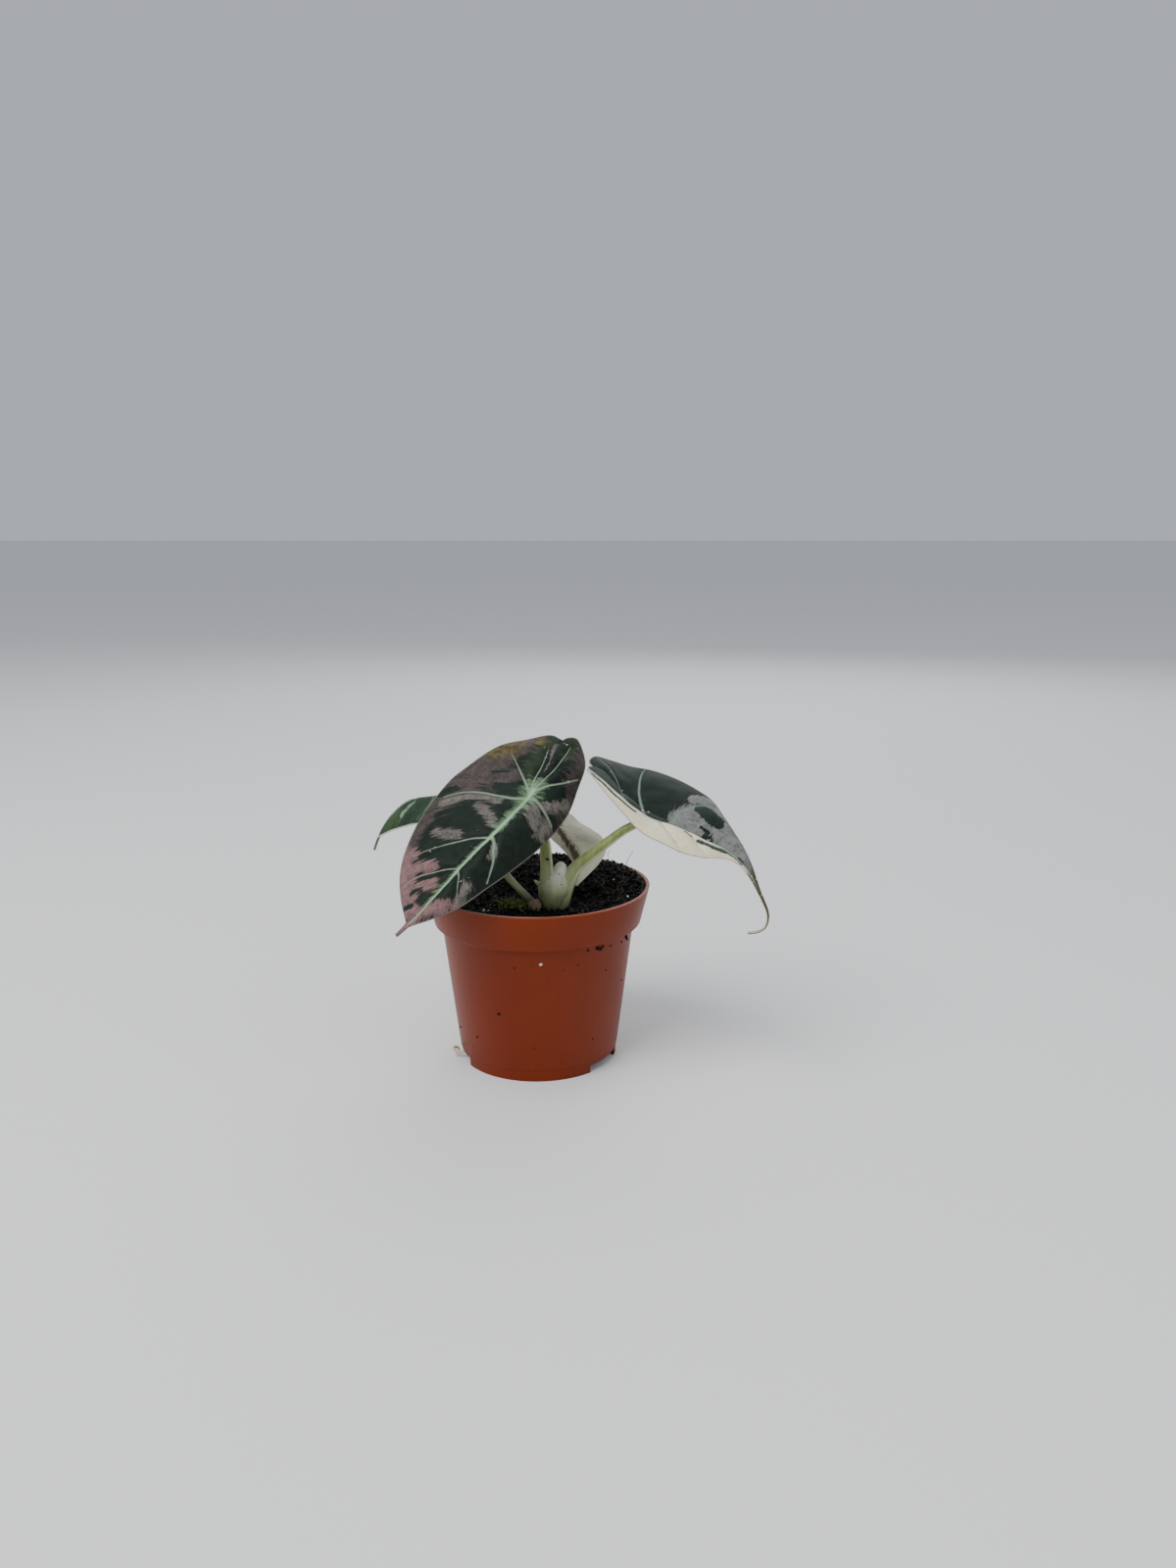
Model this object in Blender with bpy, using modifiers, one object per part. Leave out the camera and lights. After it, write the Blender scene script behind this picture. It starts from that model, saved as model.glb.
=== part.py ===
"""Young variegated velvet-leaved aroid in a small round nursery pot.

Frame: metres, +Z up, origin at the centre of the pot's underside.
+X is to the viewer's right and the viewer stands on the -Y side.
Lengths below are given in millimetres and turned into metres by MM.
"""
import math

import bpy
import bmesh
import numpy as np
from mathutils import Vector, noise

MM = 0.001
GAP = 0.3                      # clearance between touching pieces

# Pot, a thin moulded pot with a flared band below the lip
POT_H = 55.2
RIM_R = 35.0
BAND_H = 11.1                  # height of the flared band
BAND_FOOT_R = 32.3
BODY_TOP_R = 29.95             # wall just under the band
BASE_R = 24.6
WALL = 1.15
FLOOR = 1.4
STEP_H = 1.3                   # height of the slope from the band in to the wall
STEP_MID = 0.75                # a point half way down that slope
BAND_EDGE = 0.5                # rounding of the band's lower edge
BAND_IN = 1.45                 # the step inside ends this far above the band's foot
LIP_ROUND = 0.3
CORNER = 1.0                   # inner corner between the wall and the floor
BASE_ROUND = 0.4
LEDGE_Z = 3.6                  # faint step low on the wall
LEDGE_IN = 0.3
NOTCH_H = 2.5                  # drain notches at the bottom edge
NOTCH_DEPTH = 5.2
NOTCH_CENTRE_R = 23.6
NOTCH_WIDTH_DEG = 35.0
NOTCH_AT_DEG = (30.5, 165.5, 278.0)   # turned from +X towards the viewer
POT_STEPS = 48

# Soil, lowest at the front and heaped up towards the back right
SOIL_FRONT_Z = 51.4
SOIL_RISE = 4.4
SLOPE_TOWARDS = (0.35, 0.85)   # direction the soil rises in
SLOPE_START = -8.0
SLOPE_LENGTH = 30.0
SOIL_LUMP = 0.55
LUMPS = ((0.16, 2.7, 1.0), (0.41, 9.1, 0.6))   # (per mm, noise layer, strength)
SOIL_RINGS = (0, 4, 8, 12, 16, 20, 24, 27.5, 30.5)
SOIL_EDGE_RING = 32.5          # drawn in to the pot's wall once the height is known
SOIL_EDGE_DROP = 0.25
SOIL_FLAT_Z = 60.0             # height of the top before it is shaped
HOLE_TOP = 59.0                # the holes in the soil are cut up to about here
HOLE_SLACK = 0.1               # more clearance round the crown, which is faceted

# Leaf blades
BLADE_T = 0.7                  # blade away from the ribs
SIDE_RIB_T = 1.05              # blade and side vein together
SIDE_RIB_WIDTH = 0.34          # in stations
NOTCH_RIB = 0.55               # part of the midrib's thickness left at the notch
TIP_RIB = 0.25                 # and at the tip
MIDRIB_F = 0.18                # part of the half-width the midrib takes
CAGE_F = (0, MIDRIB_F, 0.4, 0.72, 1.0)   # cage lines from midrib to margin
BOW_WIDTH = 12.0               # half-width from which a half bows fully
SEAT_RUN = 2.2                 # last straight run of a stalk, up into its leaf
STALK_SOCKET_TOP = 67.5

# Each leaf is a list of stations from the notch between its back lobes to its
# tip. A station is (midrib point, margin on the leaf's right, margin on its
# left), and the drip tip after it is (midrib point, half-width).
FRONT = dict(
    stations=(
        ((8, 3, 100), (8, 3, 100), (8, 3, 100)),
        ((6, -1, 97.5), (4, 7, 101), (12, 4, 100.5)),
        ((4, -5.5, 94.5), (-3, 8, 99.5), (14, 2, 97.5)),
        ((1, -12, 90.5), (-12.5, 6, 97.5), (15, -3, 93)),
        ((-2, -17, 86), (-22.5, 0, 91.5), (13, -10, 88)),
        ((-7, -23.5, 82), (-27.5, -4, 87.5), (9.5, -17, 80.5)),
        ((-12, -28, 77.5), (-34, -13, 79.5), (2.5, -24, 73.5)),
        ((-17, -32.5, 73.5), (-37.5, -21.5, 72), (-5.5, -32, 68.5)),
        ((-22, -36.5, 68.5), (-38.5, -28, 66), (-13, -38, 64.5)),
        ((-26.5, -39.5, 64), (-37.5, -34, 60.5), (-20, -42, 60.5)),
        ((-31.5, -42, 58.5), (-35.5, -40, 56.5), (-27.5, -43, 57.5))),
    tip=(((-34.6, -43, 55.7), 0.9), ((-37.6, -44, 53.2), 0.4)),
    bow=(0.6, 2.6), rib=1.6, junction=4, side_ribs=(3.3, 4.6, 6, 8), seat=2.0)
RIGHT = dict(
    stations=(
        ((18, -4, 92), (18, -4, 92), (18, -4, 92)),
        ((21, -6, 90), (16, -13, 95), (16, 2, 93.5)),
        ((24, -8.5, 88), (16, -18, 94.5), (18, 6, 94.5)),
        ((28, -11, 84.5), (19, -25, 92), (22.5, 8, 93)),
        ((33, -14.5, 81.5), (24.5, -31, 86.5), (29, 8, 91)),
        ((37.5, -17, 80), (30.5, -34, 80.5), (36, 6, 90)),
        ((42.5, -19.5, 78.5), (36.5, -35.5, 77.5), (43, 3, 88)),
        ((48, -21.5, 76), (42.5, -35, 74.5), (49, -1, 85.5)),
        ((53, -23, 73.5), (48.5, -33, 72.5), (54, -6, 82.5)),
        ((57.5, -24.5, 71), (54.5, -29, 71), (58, -13, 77)),
        ((60.5, -25.5, 68.5), (59, -27, 69), (61, -20, 73)),
        ((63, -26, 65), (61.5, -26.5, 66), (63.5, -23.5, 68))),
    tip=(((65.7, -25.5, 60.2), 0.75), ((68.7, -24, 53.1), 0.5),
         ((68.6, -22, 48.2), 0.42), ((66.6, -20.5, 46), 0.4), ((63.7, -19, 45), 0.4)),
    bow=(1.2, 1.4), rib=1.5, junction=4, side_ribs=(3, 5, 7), seat=2.0)
LEFT = dict(
    stations=(
        ((-19.5, 4, 80.5), (-19.5, 4, 80.5), (-19.5, 4, 80.5)),
        ((-22, 5, 81), (-18.5, 11, 76.5), (-17, -2, 78.5)),
        ((-24, 6, 81.5), (-20, 17, 72.5), (-17.5, -7, 76)),
        ((-27.5, 7.5, 82), (-24.5, 21, 70), (-21.5, -9, 73.5)),
        ((-31.5, 9, 81.5), (-30, 23, 71), (-26.5, -8, 73)),
        ((-35, 10, 81), (-35.5, 23.5, 71.5), (-31.5, -5, 74)),
        ((-39.5, 11.5, 80), (-40, 23, 72), (-36.5, -1, 74.5)),
        ((-43.5, 12.5, 77.5), (-44.5, 21, 72.5), (-42, 3, 72.5)),
        ((-47.5, 13, 74), (-47.5, 18.5, 71), (-46, 6.5, 70.5)),
        ((-50, 13.5, 70.5), (-50, 16, 69), (-50, 10, 68))),
    tip=(((-52, 13, 66.5), 0.9), ((-53.5, 13, 62.5), 0.4)),
    bow=(1.2, 1.2), rib=1.4, junction=3, side_ribs=(4.5, 6.5), seat=2.2)
BACK = dict(
    stations=(
        ((2, 15, 74), (2, 15, 74), (2, 15, 74)),
        ((3.5, 13.5, 73.5), (0, 16, 72.2), (6.5, 15, 74.6)),
        ((4.5, 12, 72.5), (-0.5, 19, 70), (10, 16.5, 73.6)),
        ((6, 10.5, 71.5), (1, 20, 67.5), (13, 16, 71)),
        ((8.5, 8.5, 69.5), (3.5, 18, 65), (17, 14, 69)),
        ((10.5, 6, 67.5), (6, 15, 63.5), (20, 11, 67.5)),
        ((12.5, 4, 65.5), (8.5, 11, 62), (21.5, 8, 65)),
        ((13.5, 1, 63), (10.5, 7, 60.5), (21, 4.5, 63)),
        ((13.5, -2, 61), (11.5, 2, 59.5), (18.5, 0.5, 60.5)),
        ((13, -5, 59), (12, -3, 58), (15.5, -3.5, 58.5))),
    tip=(((12.1, -7, 56.6), 0.5),),
    bow=(0.5, 0.5), rib=0.9, junction=2, side_ribs=(4, 6), seat=2.4)

# Leaf stalks: (point, radius) from the base upwards. The last point, under the
# leaf, is worked out from the leaf itself.
FRONT_STALK = (((3.4, -12.8, 56.6), 2.1), ((3.3, -13, 60), 2.05), ((3.3, -13, 63.5), 1.95),
               ((3.1, -13, 67), 1.8), ((2.8, -12.4, 71), 1.7), ((1.5, -11.4, 76), 1.55),
               ((-0.6, -12.4, 80.6), 1.45))
RIGHT_STALK = (((9.3, -11.6, 57.6), 1.85), ((10.4, -12, 61.6), 1.8), ((13, -12, 64.7), 1.7),
               ((17, -12.2, 68), 1.55), ((21.5, -12.8, 71.7), 1.45), ((26, -13.2, 75.2), 1.35),
               ((30, -13.6, 77.4), 1.25))
LEFT_STALK = (((-0.6, -9.4, 48.5), 1.15), ((-2, -10, 52.5), 1.15), ((-5, -9.8, 55.8), 1.1),
              ((-9, -8.5, 60), 1.05), ((-14.5, -5, 66), 1.0), ((-21, 0, 71), 0.95),
              ((-25.5, 4.6, 74.5), 0.9), ((-27.3, 6.9, 77.4), 0.9))
BACK_STALK = (((13.9, 10.6, 51.5), 1.0), ((13.7, 11.3, 55.5), 1.0), ((12.9, 12.8, 59.8), 0.95),
              ((11.3, 14.6, 64), 0.9), ((9.2, 15.6, 67.5), 0.85), ((7.4, 15.4, 69.8), 0.85))

# Crown: the thick pale base the stalks grow from, and the blunt new shoot
CROWN = (((5.3, -12.2, 44.5), 2.6), ((5.3, -12.2, 48), 3.5), ((5.3, -12.2, 51), 4.0),
         ((5.4, -12.2, 54.5), 4.6), ((5.6, -12.2, 57.5), 5.3), ((5.7, -12.2, 60.5), 5.6),
         ((5.7, -12.2, 62.6), 5.0), ((5.9, -12.2, 64), 3.4))
CROWN_DEPTH = 0.82             # the crown is flattened front to back
SHOOT = (((7.2, -9.6, 58), 2.1), ((7.5, -8.9, 61), 2.2), ((8, -8.4, 63.6), 2.0),
         ((8.2, -8.2, 65.2), 1.2), ((8.3, -8.1, 65.8), 0.5))

# Small brown corm at the crown's foot, and the root loop at a drain notch
CORM_AT = (-0.3, -15.0, 52.4)
CORM_R = (2.0, 1.8, 2.3)
CORM_STEPS = (14, 9)
CORM_BUMP = 0.13
CORM_HOLE = 1.06               # the hole is this much larger, then the gap
ROOT_R = 0.42
ROOT = ((-22.6, -6.9, 2.25), (-24.4, -7.3, 1.7), (-26.0, -7.2, 1.9), (-26.9, -6.2, 2.5),
        (-26.6, -4.8, 2.4), (-25.7, -3.9, 1.6), (-25.4, -4.4, 0.8))

for ob in list(bpy.data.objects):
    bpy.data.objects.remove(ob, do_unlink=True)

plant = bpy.data.collections.new("potted_velvet_aroid")
cutters = bpy.data.collections.new("cutters")
for col in (plant, cutters):
    bpy.context.scene.collection.children.link(col)


def material(name, color, rough, spec=0.5):
    mat = bpy.data.materials.new(name)
    mat.use_nodes = True
    bsdf = mat.node_tree.nodes["Principled BSDF"]
    bsdf.inputs["Base Color"].default_value = (*color, 1.0)
    bsdf.inputs["Roughness"].default_value = rough
    bsdf.inputs["Metallic"].default_value = 0.0
    bsdf.inputs["Specular IOR Level"].default_value = spec
    return mat


POT_MAT = material("pot_plastic", (0.38, 0.085, 0.032), 0.42)
SOIL_MAT = material("soil", (0.018, 0.013, 0.010), 0.95, 0.2)
CORM_MAT = material("corm_skin", (0.36, 0.22, 0.15), 0.7)
CROWN_MAT = material("crown_skin", (0.55, 0.62, 0.42), 0.5)
STALK_MAT = material("stalk_skin", (0.42, 0.50, 0.20), 0.45)
ROOT_MAT = material("root_skin", (0.75, 0.68, 0.56), 0.6)
FRONT_MAT = material("blade_front_skin", (0.022, 0.05, 0.032), 0.5)
RIGHT_MAT = material("blade_right_skin", (0.10, 0.14, 0.10), 0.5)
LEFT_MAT = material("blade_left_skin", (0.03, 0.09, 0.04), 0.5)
BACK_MAT = material("blade_back_skin", (0.72, 0.68, 0.56), 0.5)


def new_object(name, mesh, mat, col=plant):
    ob = bpy.data.objects.new(name, mesh)
    col.objects.link(ob)
    if mat:
        mesh.materials.append(mat)
    return ob


def as_cutter(ob):
    ob.hide_render = True
    ob.display_type = 'WIRE'
    return ob


def cut(ob, cutter, operation='DIFFERENCE'):
    mod = ob.modifiers.new(operation.lower(), 'BOOLEAN')
    mod.operation = operation
    mod.solver = 'EXACT'
    mod.object = cutter
    return mod


def smooth(ob, angle=40):
    ob.data.shade_smooth()
    ob.data.set_sharp_from_angle(angle=math.radians(angle))


def through(points, per_span):
    """Points on a smooth curve that passes through all the given ones."""
    p = np.asarray(points, float)
    p = np.vstack([2 * p[0] - p[1], p, 2 * p[-1] - p[-2]])
    out = []
    for i in range(1, len(p) - 2):
        a, b, c, d = p[i - 1:i + 3]
        for k in range(per_span):
            t = k / per_span
            out.append(0.5 * (2 * b + (c - a) * t + (2 * a - 5 * b + 4 * c - d) * t * t
                              + (3 * b - a - 3 * c + d) * t ** 3))
    out.append(p[-2])
    return np.array(out)


# The pot is one closed profile turned about Z
def wall_out(z):
    """Outer radius of the pot at height z."""
    foot = POT_H - BAND_H
    if z >= foot:
        return BAND_FOOT_R + (RIM_R - BAND_FOOT_R) * (z - foot) / BAND_H
    return BASE_R + (BODY_TOP_R - BASE_R) * z / (foot - STEP_H)


def wall_in(z):
    """Inner radius of the pot at height z; the step inside sits a little higher."""
    foot = POT_H - BAND_H
    if foot - STEP_H < z < foot + BAND_IN:
        return BODY_TOP_R - WALL
    return wall_out(z) - WALL


def pot_profile():
    foot = POT_H - BAND_H
    inner = [(0, FLOOR), (BASE_R - WALL - CORNER, FLOOR), (wall_in(FLOOR + CORNER), FLOOR + CORNER),
             (wall_in(foot - STEP_H), foot - STEP_H), (wall_in(foot + BAND_IN), foot + BAND_IN),
             (RIM_R - WALL, POT_H - LIP_ROUND)]
    lip = [(RIM_R - WALL + LIP_ROUND, POT_H), (RIM_R - LIP_ROUND, POT_H), (RIM_R, POT_H - LIP_ROUND)]
    outer = [(wall_out(foot + BAND_EDGE), foot + BAND_EDGE), (BAND_FOOT_R - BAND_EDGE / 2, foot),
             (BODY_TOP_R + STEP_MID, foot - STEP_MID), (BODY_TOP_R, foot - STEP_H),
             (wall_out(LEDGE_Z), LEDGE_Z + LEDGE_IN / 2), (wall_out(LEDGE_Z) - LEDGE_IN, LEDGE_Z),
             (BASE_R - BASE_ROUND / 2, BASE_ROUND), (BASE_R - BASE_ROUND, 0), (0, 0)]
    return inner + lip + outer


def turned(name, profile, steps, mat, col=plant):
    mesh = bpy.data.meshes.new(name)
    mesh.from_pydata([(r * MM, 0, z * MM) for r, z in profile],
                     [(i, i + 1) for i in range(len(profile) - 1)], [])
    ob = new_object(name, mesh, mat, col)
    screw = ob.modifiers.new("turn", 'SCREW')
    screw.angle = math.tau
    screw.steps = steps
    screw.render_steps = steps
    screw.use_merge_vertices = True
    screw.merge_threshold = 0.00001
    screw.use_smooth_shade = True
    weld = ob.modifiers.new("weld", 'WELD')
    weld.merge_threshold = 0.00001
    return ob


def made_mesh(ob):
    """Replace an object that has modifiers, or a curve, by its finished mesh."""
    depsgraph = bpy.context.evaluated_depsgraph_get()
    mesh = bpy.data.meshes.new_from_object(ob.evaluated_get(depsgraph))
    name, mat, col = ob.name, ob.data.materials[0] if ob.data.materials else None, ob.users_collection[0]
    matrix = ob.matrix_world.copy()
    bpy.data.objects.remove(ob, do_unlink=True)
    bm = bmesh.new()
    bm.from_mesh(mesh)
    bmesh.ops.remove_doubles(bm, verts=bm.verts, dist=0.00001)
    bmesh.ops.holes_fill(bm, edges=[e for e in bm.edges if e.is_boundary])
    bmesh.ops.recalc_face_normals(bm, faces=bm.faces)
    bm.to_mesh(mesh)
    bm.free()
    mesh.name = name
    mesh.materials.clear()
    new = new_object(name, mesh, mat, col)
    new.name = name
    new.matrix_world = matrix
    return new


pot = turned("pot", pot_profile(), POT_STEPS, POT_MAT)

notch_cutters = []
for at in NOTCH_AT_DEG:
    half = math.radians(NOTCH_WIDTH_DEG / 2)
    length = 2 * BASE_R * math.sin(half)
    bm = bmesh.new()
    bmesh.ops.create_cube(bm, size=1.0)
    bmesh.ops.scale(bm, verts=bm.verts, vec=(NOTCH_DEPTH * MM, length * MM, 2 * NOTCH_H * MM))
    mesh = bpy.data.meshes.new("notch_cutter")
    bm.to_mesh(mesh)
    bm.free()
    box = as_cutter(new_object("notch_cutter", mesh, None, cutters))
    turn = -math.radians(at)
    box.location = Vector((math.cos(turn), math.sin(turn), 0)) * NOTCH_CENTRE_R * MM
    box.rotation_euler = (0, 0, turn)
    cut(pot, box)


# Soil fills the pot down to its floor; its top is lumpy and heaped to one side
def soil_height(x, y):
    along = SLOPE_TOWARDS[0] * x + SLOPE_TOWARDS[1] * y
    t = min(max((along - SLOPE_START) / SLOPE_LENGTH, 0), 1)
    lump = sum(strength * noise.noise(Vector((x * scale, y * scale, layer)))
               for scale, layer, strength in LUMPS)
    return SOIL_FRONT_Z + SOIL_RISE * t * t * (3 - 2 * t) + SOIL_LUMP * lump


def soil_edge_r(z):
    return wall_in(min(z, POT_H - 2 * LIP_ROUND)) - GAP


low = FLOOR + GAP
under_band = POT_H - BAND_H - STEP_H
soil_profile = [(r, SOIL_FLAT_Z) for r in SOIL_RINGS + (SOIL_EDGE_RING,)]
soil_profile += [(soil_edge_r(under_band), under_band), (soil_edge_r(low + CORNER), low + CORNER),
                 (soil_edge_r(low) - CORNER, low), (0, low)]
soil = made_mesh(turned("soil", soil_profile, POT_STEPS, SOIL_MAT))
for v in soil.data.vertices:
    if v.co.z > (SOIL_FLAT_Z - GAP) * MM:
        x, y = v.co.x / MM, v.co.y / MM
        r = math.hypot(x, y)
        z = soil_height(x, y)
        if r > SOIL_EDGE_RING - GAP:
            edge = soil_edge_r(z) / r
            x, y = x * edge, y * edge
            z = soil_height(x, y) - SOIL_EDGE_DROP
        v.co = (x * MM, y * MM, z * MM)


# Leaf blades: a ruled cage between the midrib and the two margins
def unit(v):
    return v / np.linalg.norm(v)


def leaf_lines(leaf, per_span):
    mid, right, left = (np.array([s[k] for s in leaf["stations"]], float) for k in range(3))
    side = unit(right[-1] - left[-1])
    for point, half in leaf["tip"]:
        point = np.array(point, float)
        along = unit(point - mid[-1])
        side = unit(side - side.dot(along) * along)
        mid = np.vstack([mid, point])
        right = np.vstack([right, point + half * side])
        left = np.vstack([left, point - half * side])
    return tuple(through(line, per_span) for line in (mid, right, left))


def leaf_normals(mid, right, left):
    out = []
    for i in range(len(mid)):
        a, b = max(i - 1, 0), min(i + 1, len(mid) - 1)
        along = unit(mid[b] - mid[a])
        k = min(max(i, 2), len(mid) - 1)
        across = right[k] - left[k]
        n = np.cross(across, along)
        out.append(unit(n))
    return out


def blade(name, leaf, mat, per_span=3):
    mid, right, left = leaf_lines(leaf, per_span)
    normals = leaf_normals(mid, right, left)
    columns = [(-1, f) for f in reversed(CAGE_F[1:])] + [(1, f) for f in CAGE_F]
    bm = bmesh.new()
    layer = bm.verts.layers.deform.new()
    grid = []
    for i in range(len(mid)):
        row = []
        for side, f in columns:
            edge = right[i] if side > 0 else left[i]
            bow = leaf["bow"][0] if side > 0 else leaf["bow"][1]
            width = np.linalg.norm(edge - mid[i])
            p = mid[i] + (edge - mid[i]) * f + normals[i] * bow * 4 * f * (1 - f) * min(width / BOW_WIDTH, 1)
            row.append(bm.verts.new(Vector(p) * MM))
        grid.append(row)
    # Faces join neighbouring rows of the cage
    for low_row, high_row in zip(grid, grid[1:]):
        for j in range(len(columns) - 1):
            bm.faces.new((low_row[j], low_row[j + 1], high_row[j + 1], high_row[j]))
    last = len(grid) - 1
    j_row = leaf["junction"] * per_span
    for i, row in enumerate(grid):
        if i < j_row:
            near = NOTCH_RIB + (1 - NOTCH_RIB) * i / j_row
        else:
            near = 1 - (1 - TIP_RIB) * (i - j_row) / (last - j_row)
        rib = max(BLADE_T, leaf["rib"] * near)
        side = max(1 - abs(i / per_span - s) / SIDE_RIB_WIDTH for s in leaf["side_ribs"])
        for j, v in enumerate(row):
            t = BLADE_T
            if columns[j][1] == 0:
                t = rib
            elif side > 0 and columns[j][1] < 1 and i < last - 2 * per_span:
                t = BLADE_T + (min(SIDE_RIB_T, leaf["rib"]) - BLADE_T) * side
            v[layer][0] = t / leaf["rib"]
    bmesh.ops.remove_doubles(bm, verts=bm.verts, dist=0.00002)
    bmesh.ops.dissolve_degenerate(bm, edges=bm.edges, dist=0.00001)
    bmesh.ops.recalc_face_normals(bm, faces=bm.faces)
    bm.faces.ensure_lookup_table()
    middle = bm.faces[len(bm.faces) // 2]
    if middle.normal.dot(Vector(normals[j_row])) < 0:
        bmesh.ops.reverse_faces(bm, faces=bm.faces)
    mesh = bpy.data.meshes.new(name)
    bm.to_mesh(mesh)
    bm.free()
    ob = new_object(name, mesh, mat)
    ob.vertex_groups.new(name="ribs")
    tri = ob.modifiers.new("triangles", 'TRIANGULATE')
    tri.quad_method = 'FIXED'
    sol = ob.modifiers.new("thickness", 'SOLIDIFY')
    sol.thickness = leaf["rib"] * MM
    sol.offset = -1
    sol.vertex_group = "ribs"
    sol.thickness_vertex_group = 0.0
    smooth(ob, 60)
    return ob


def seat_under(leaf, per_span=3):
    """Where the stalk ends: just under the midrib at the leaf's junction."""
    mid, right, left = leaf_lines(leaf, per_span)
    i = leaf["junction"] * per_span
    n = leaf_normals(mid, right, left)[i]
    return mid[i] - n * leaf["seat"], n


def tube(name, stations, mat, grow=0.0, per_span=2, col=plant, resolution=3, flatten=None):
    """A round stalk through the stations, as one closed mesh."""
    pts = through([p for p, r in stations], per_span)
    radii = through([(r, 0, 0) for p, r in stations], per_span)[:, 0]
    curve = bpy.data.curves.new(name, 'CURVE')
    curve.dimensions = '3D'
    curve.bevel_depth = MM
    curve.bevel_resolution = resolution
    curve.use_fill_caps = True
    spline = curve.splines.new('POLY')
    spline.points.add(len(pts) - 1)
    for sp, p, r in zip(spline.points, pts, radii):
        sp.co = (*(p * MM), 1)
        sp.radius = r + grow
    if mat:
        curve.materials.append(mat)
    ob = bpy.data.objects.new(name, curve)
    col.objects.link(ob)
    bpy.context.view_layer.update()
    ob = made_mesh(ob)
    if flatten:
        axis_y, amount = flatten
        for v in ob.data.vertices:
            v.co.y = axis_y * MM + (v.co.y - axis_y * MM) * amount
    return ob


def stalk(name, stations, leaf, mat):
    end, n = seat_under(leaf)
    before = end - n * SEAT_RUN
    last_r = stations[-1][1]
    full = list(stations) + [(tuple(before), last_r), (tuple(end), last_r)]
    ob = tube(name, full, mat)
    smooth(ob)
    return ob, full


blade("blade_front", FRONT, FRONT_MAT)
blade("blade_right", RIGHT, RIGHT_MAT)
blade("blade_left", LEFT, LEFT_MAT)
blade("blade_back", BACK, BACK_MAT, 2)

front_stalk, front_line = stalk("stalk_front", FRONT_STALK, FRONT, STALK_MAT)
right_stalk, right_line = stalk("stalk_right", RIGHT_STALK, RIGHT, STALK_MAT)
left_stalk, left_line = stalk("stalk_left", LEFT_STALK, LEFT, STALK_MAT)
back_stalk, back_line = stalk("stalk_back", BACK_STALK, BACK, STALK_MAT)


def lower_part(stations, up_to_z, grow):
    """The first stations, lengthened downwards, for the hole a stalk stands in."""
    kept = [s for s in stations if s[0][2] < up_to_z]
    kept += stations[len(kept):len(kept) + 2]
    first, second = np.array(kept[0][0], float), np.array(kept[1][0], float)
    start = first - unit(second - first) * grow
    return [(tuple(start), kept[0][1])] + list(kept[1:])


# Crown, joined with the new shoot, with a socket for each of its two stalks
crown_y = CROWN[0][0][1]
crown = tube("crown", CROWN, CROWN_MAT, per_span=2, resolution=5, flatten=(crown_y, CROWN_DEPTH))
shoot = as_cutter(tube("shoot_join", SHOOT, None, per_span=2, col=cutters, resolution=4))
cut(crown, shoot, 'UNION')
for name, line in (("front_socket", front_line), ("right_socket", right_line)):
    socket = as_cutter(tube(name, lower_part(line, STALK_SOCKET_TOP, GAP), None, grow=GAP, col=cutters))
    cut(crown, socket)
smooth(crown)


def ball(name, radii, bump, mat, col):
    """A small lumpy ball where the corm is."""
    bm = bmesh.new()
    bmesh.ops.create_uvsphere(bm, u_segments=CORM_STEPS[0], v_segments=CORM_STEPS[1], radius=1.0)
    for v in bm.verts:
        grow = 1 + bump * noise.noise(v.co * 2)
        v.co = Vector(c * r * grow for c, r in zip(v.co, radii)) * MM
    mesh = bpy.data.meshes.new(name)
    bm.to_mesh(mesh)
    bm.free()
    ob = new_object(name, mesh, mat, col)
    ob.location = Vector(CORM_AT) * MM
    return ob


smooth(ball("corm", CORM_R, CORM_BUMP, CORM_MAT, plant), 60)

# Plain holes in the soil for everything that stands in it
hole_crown = tube("hole_crown", lower_part(CROWN, HOLE_TOP, GAP), None, grow=GAP + HOLE_SLACK,
                  col=cutters, resolution=5, flatten=(crown_y, CROWN_DEPTH))
hole_left = tube("hole_left", lower_part(left_line, HOLE_TOP, GAP), None, grow=GAP, col=cutters)
hole_back = tube("hole_back", lower_part(back_line, HOLE_TOP, GAP), None, grow=GAP, col=cutters)
hole_corm = ball("hole_corm", [r * CORM_HOLE + GAP for r in CORM_R], 0, None, cutters)
for hole in (hole_crown, hole_left, hole_back, hole_corm):
    cut(soil, as_cutter(hole))
smooth(soil, 60)

# Thin root that loops out of the left drain notch
root = tube("drain_root", [(p, ROOT_R) for p in ROOT], ROOT_MAT, per_span=2, resolution=2)
smooth(root)
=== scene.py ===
# %% [markdown]
# A small velvet-leaved aroid in its nursery pot: four hanging leaves on pale
# stalks, a fat crown, dark soil and a thin orange-brown pot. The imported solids
# give every size and place. Each one is dressed here by a finer mesh of the same
# form, and the object keeps the frame: metres, +Z up, the pot's underside at 0.

# %% Load the frame
import math
import random

import bmesh
import bpy
import numpy as np
from mathutils import Matrix, Vector, noise


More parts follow.
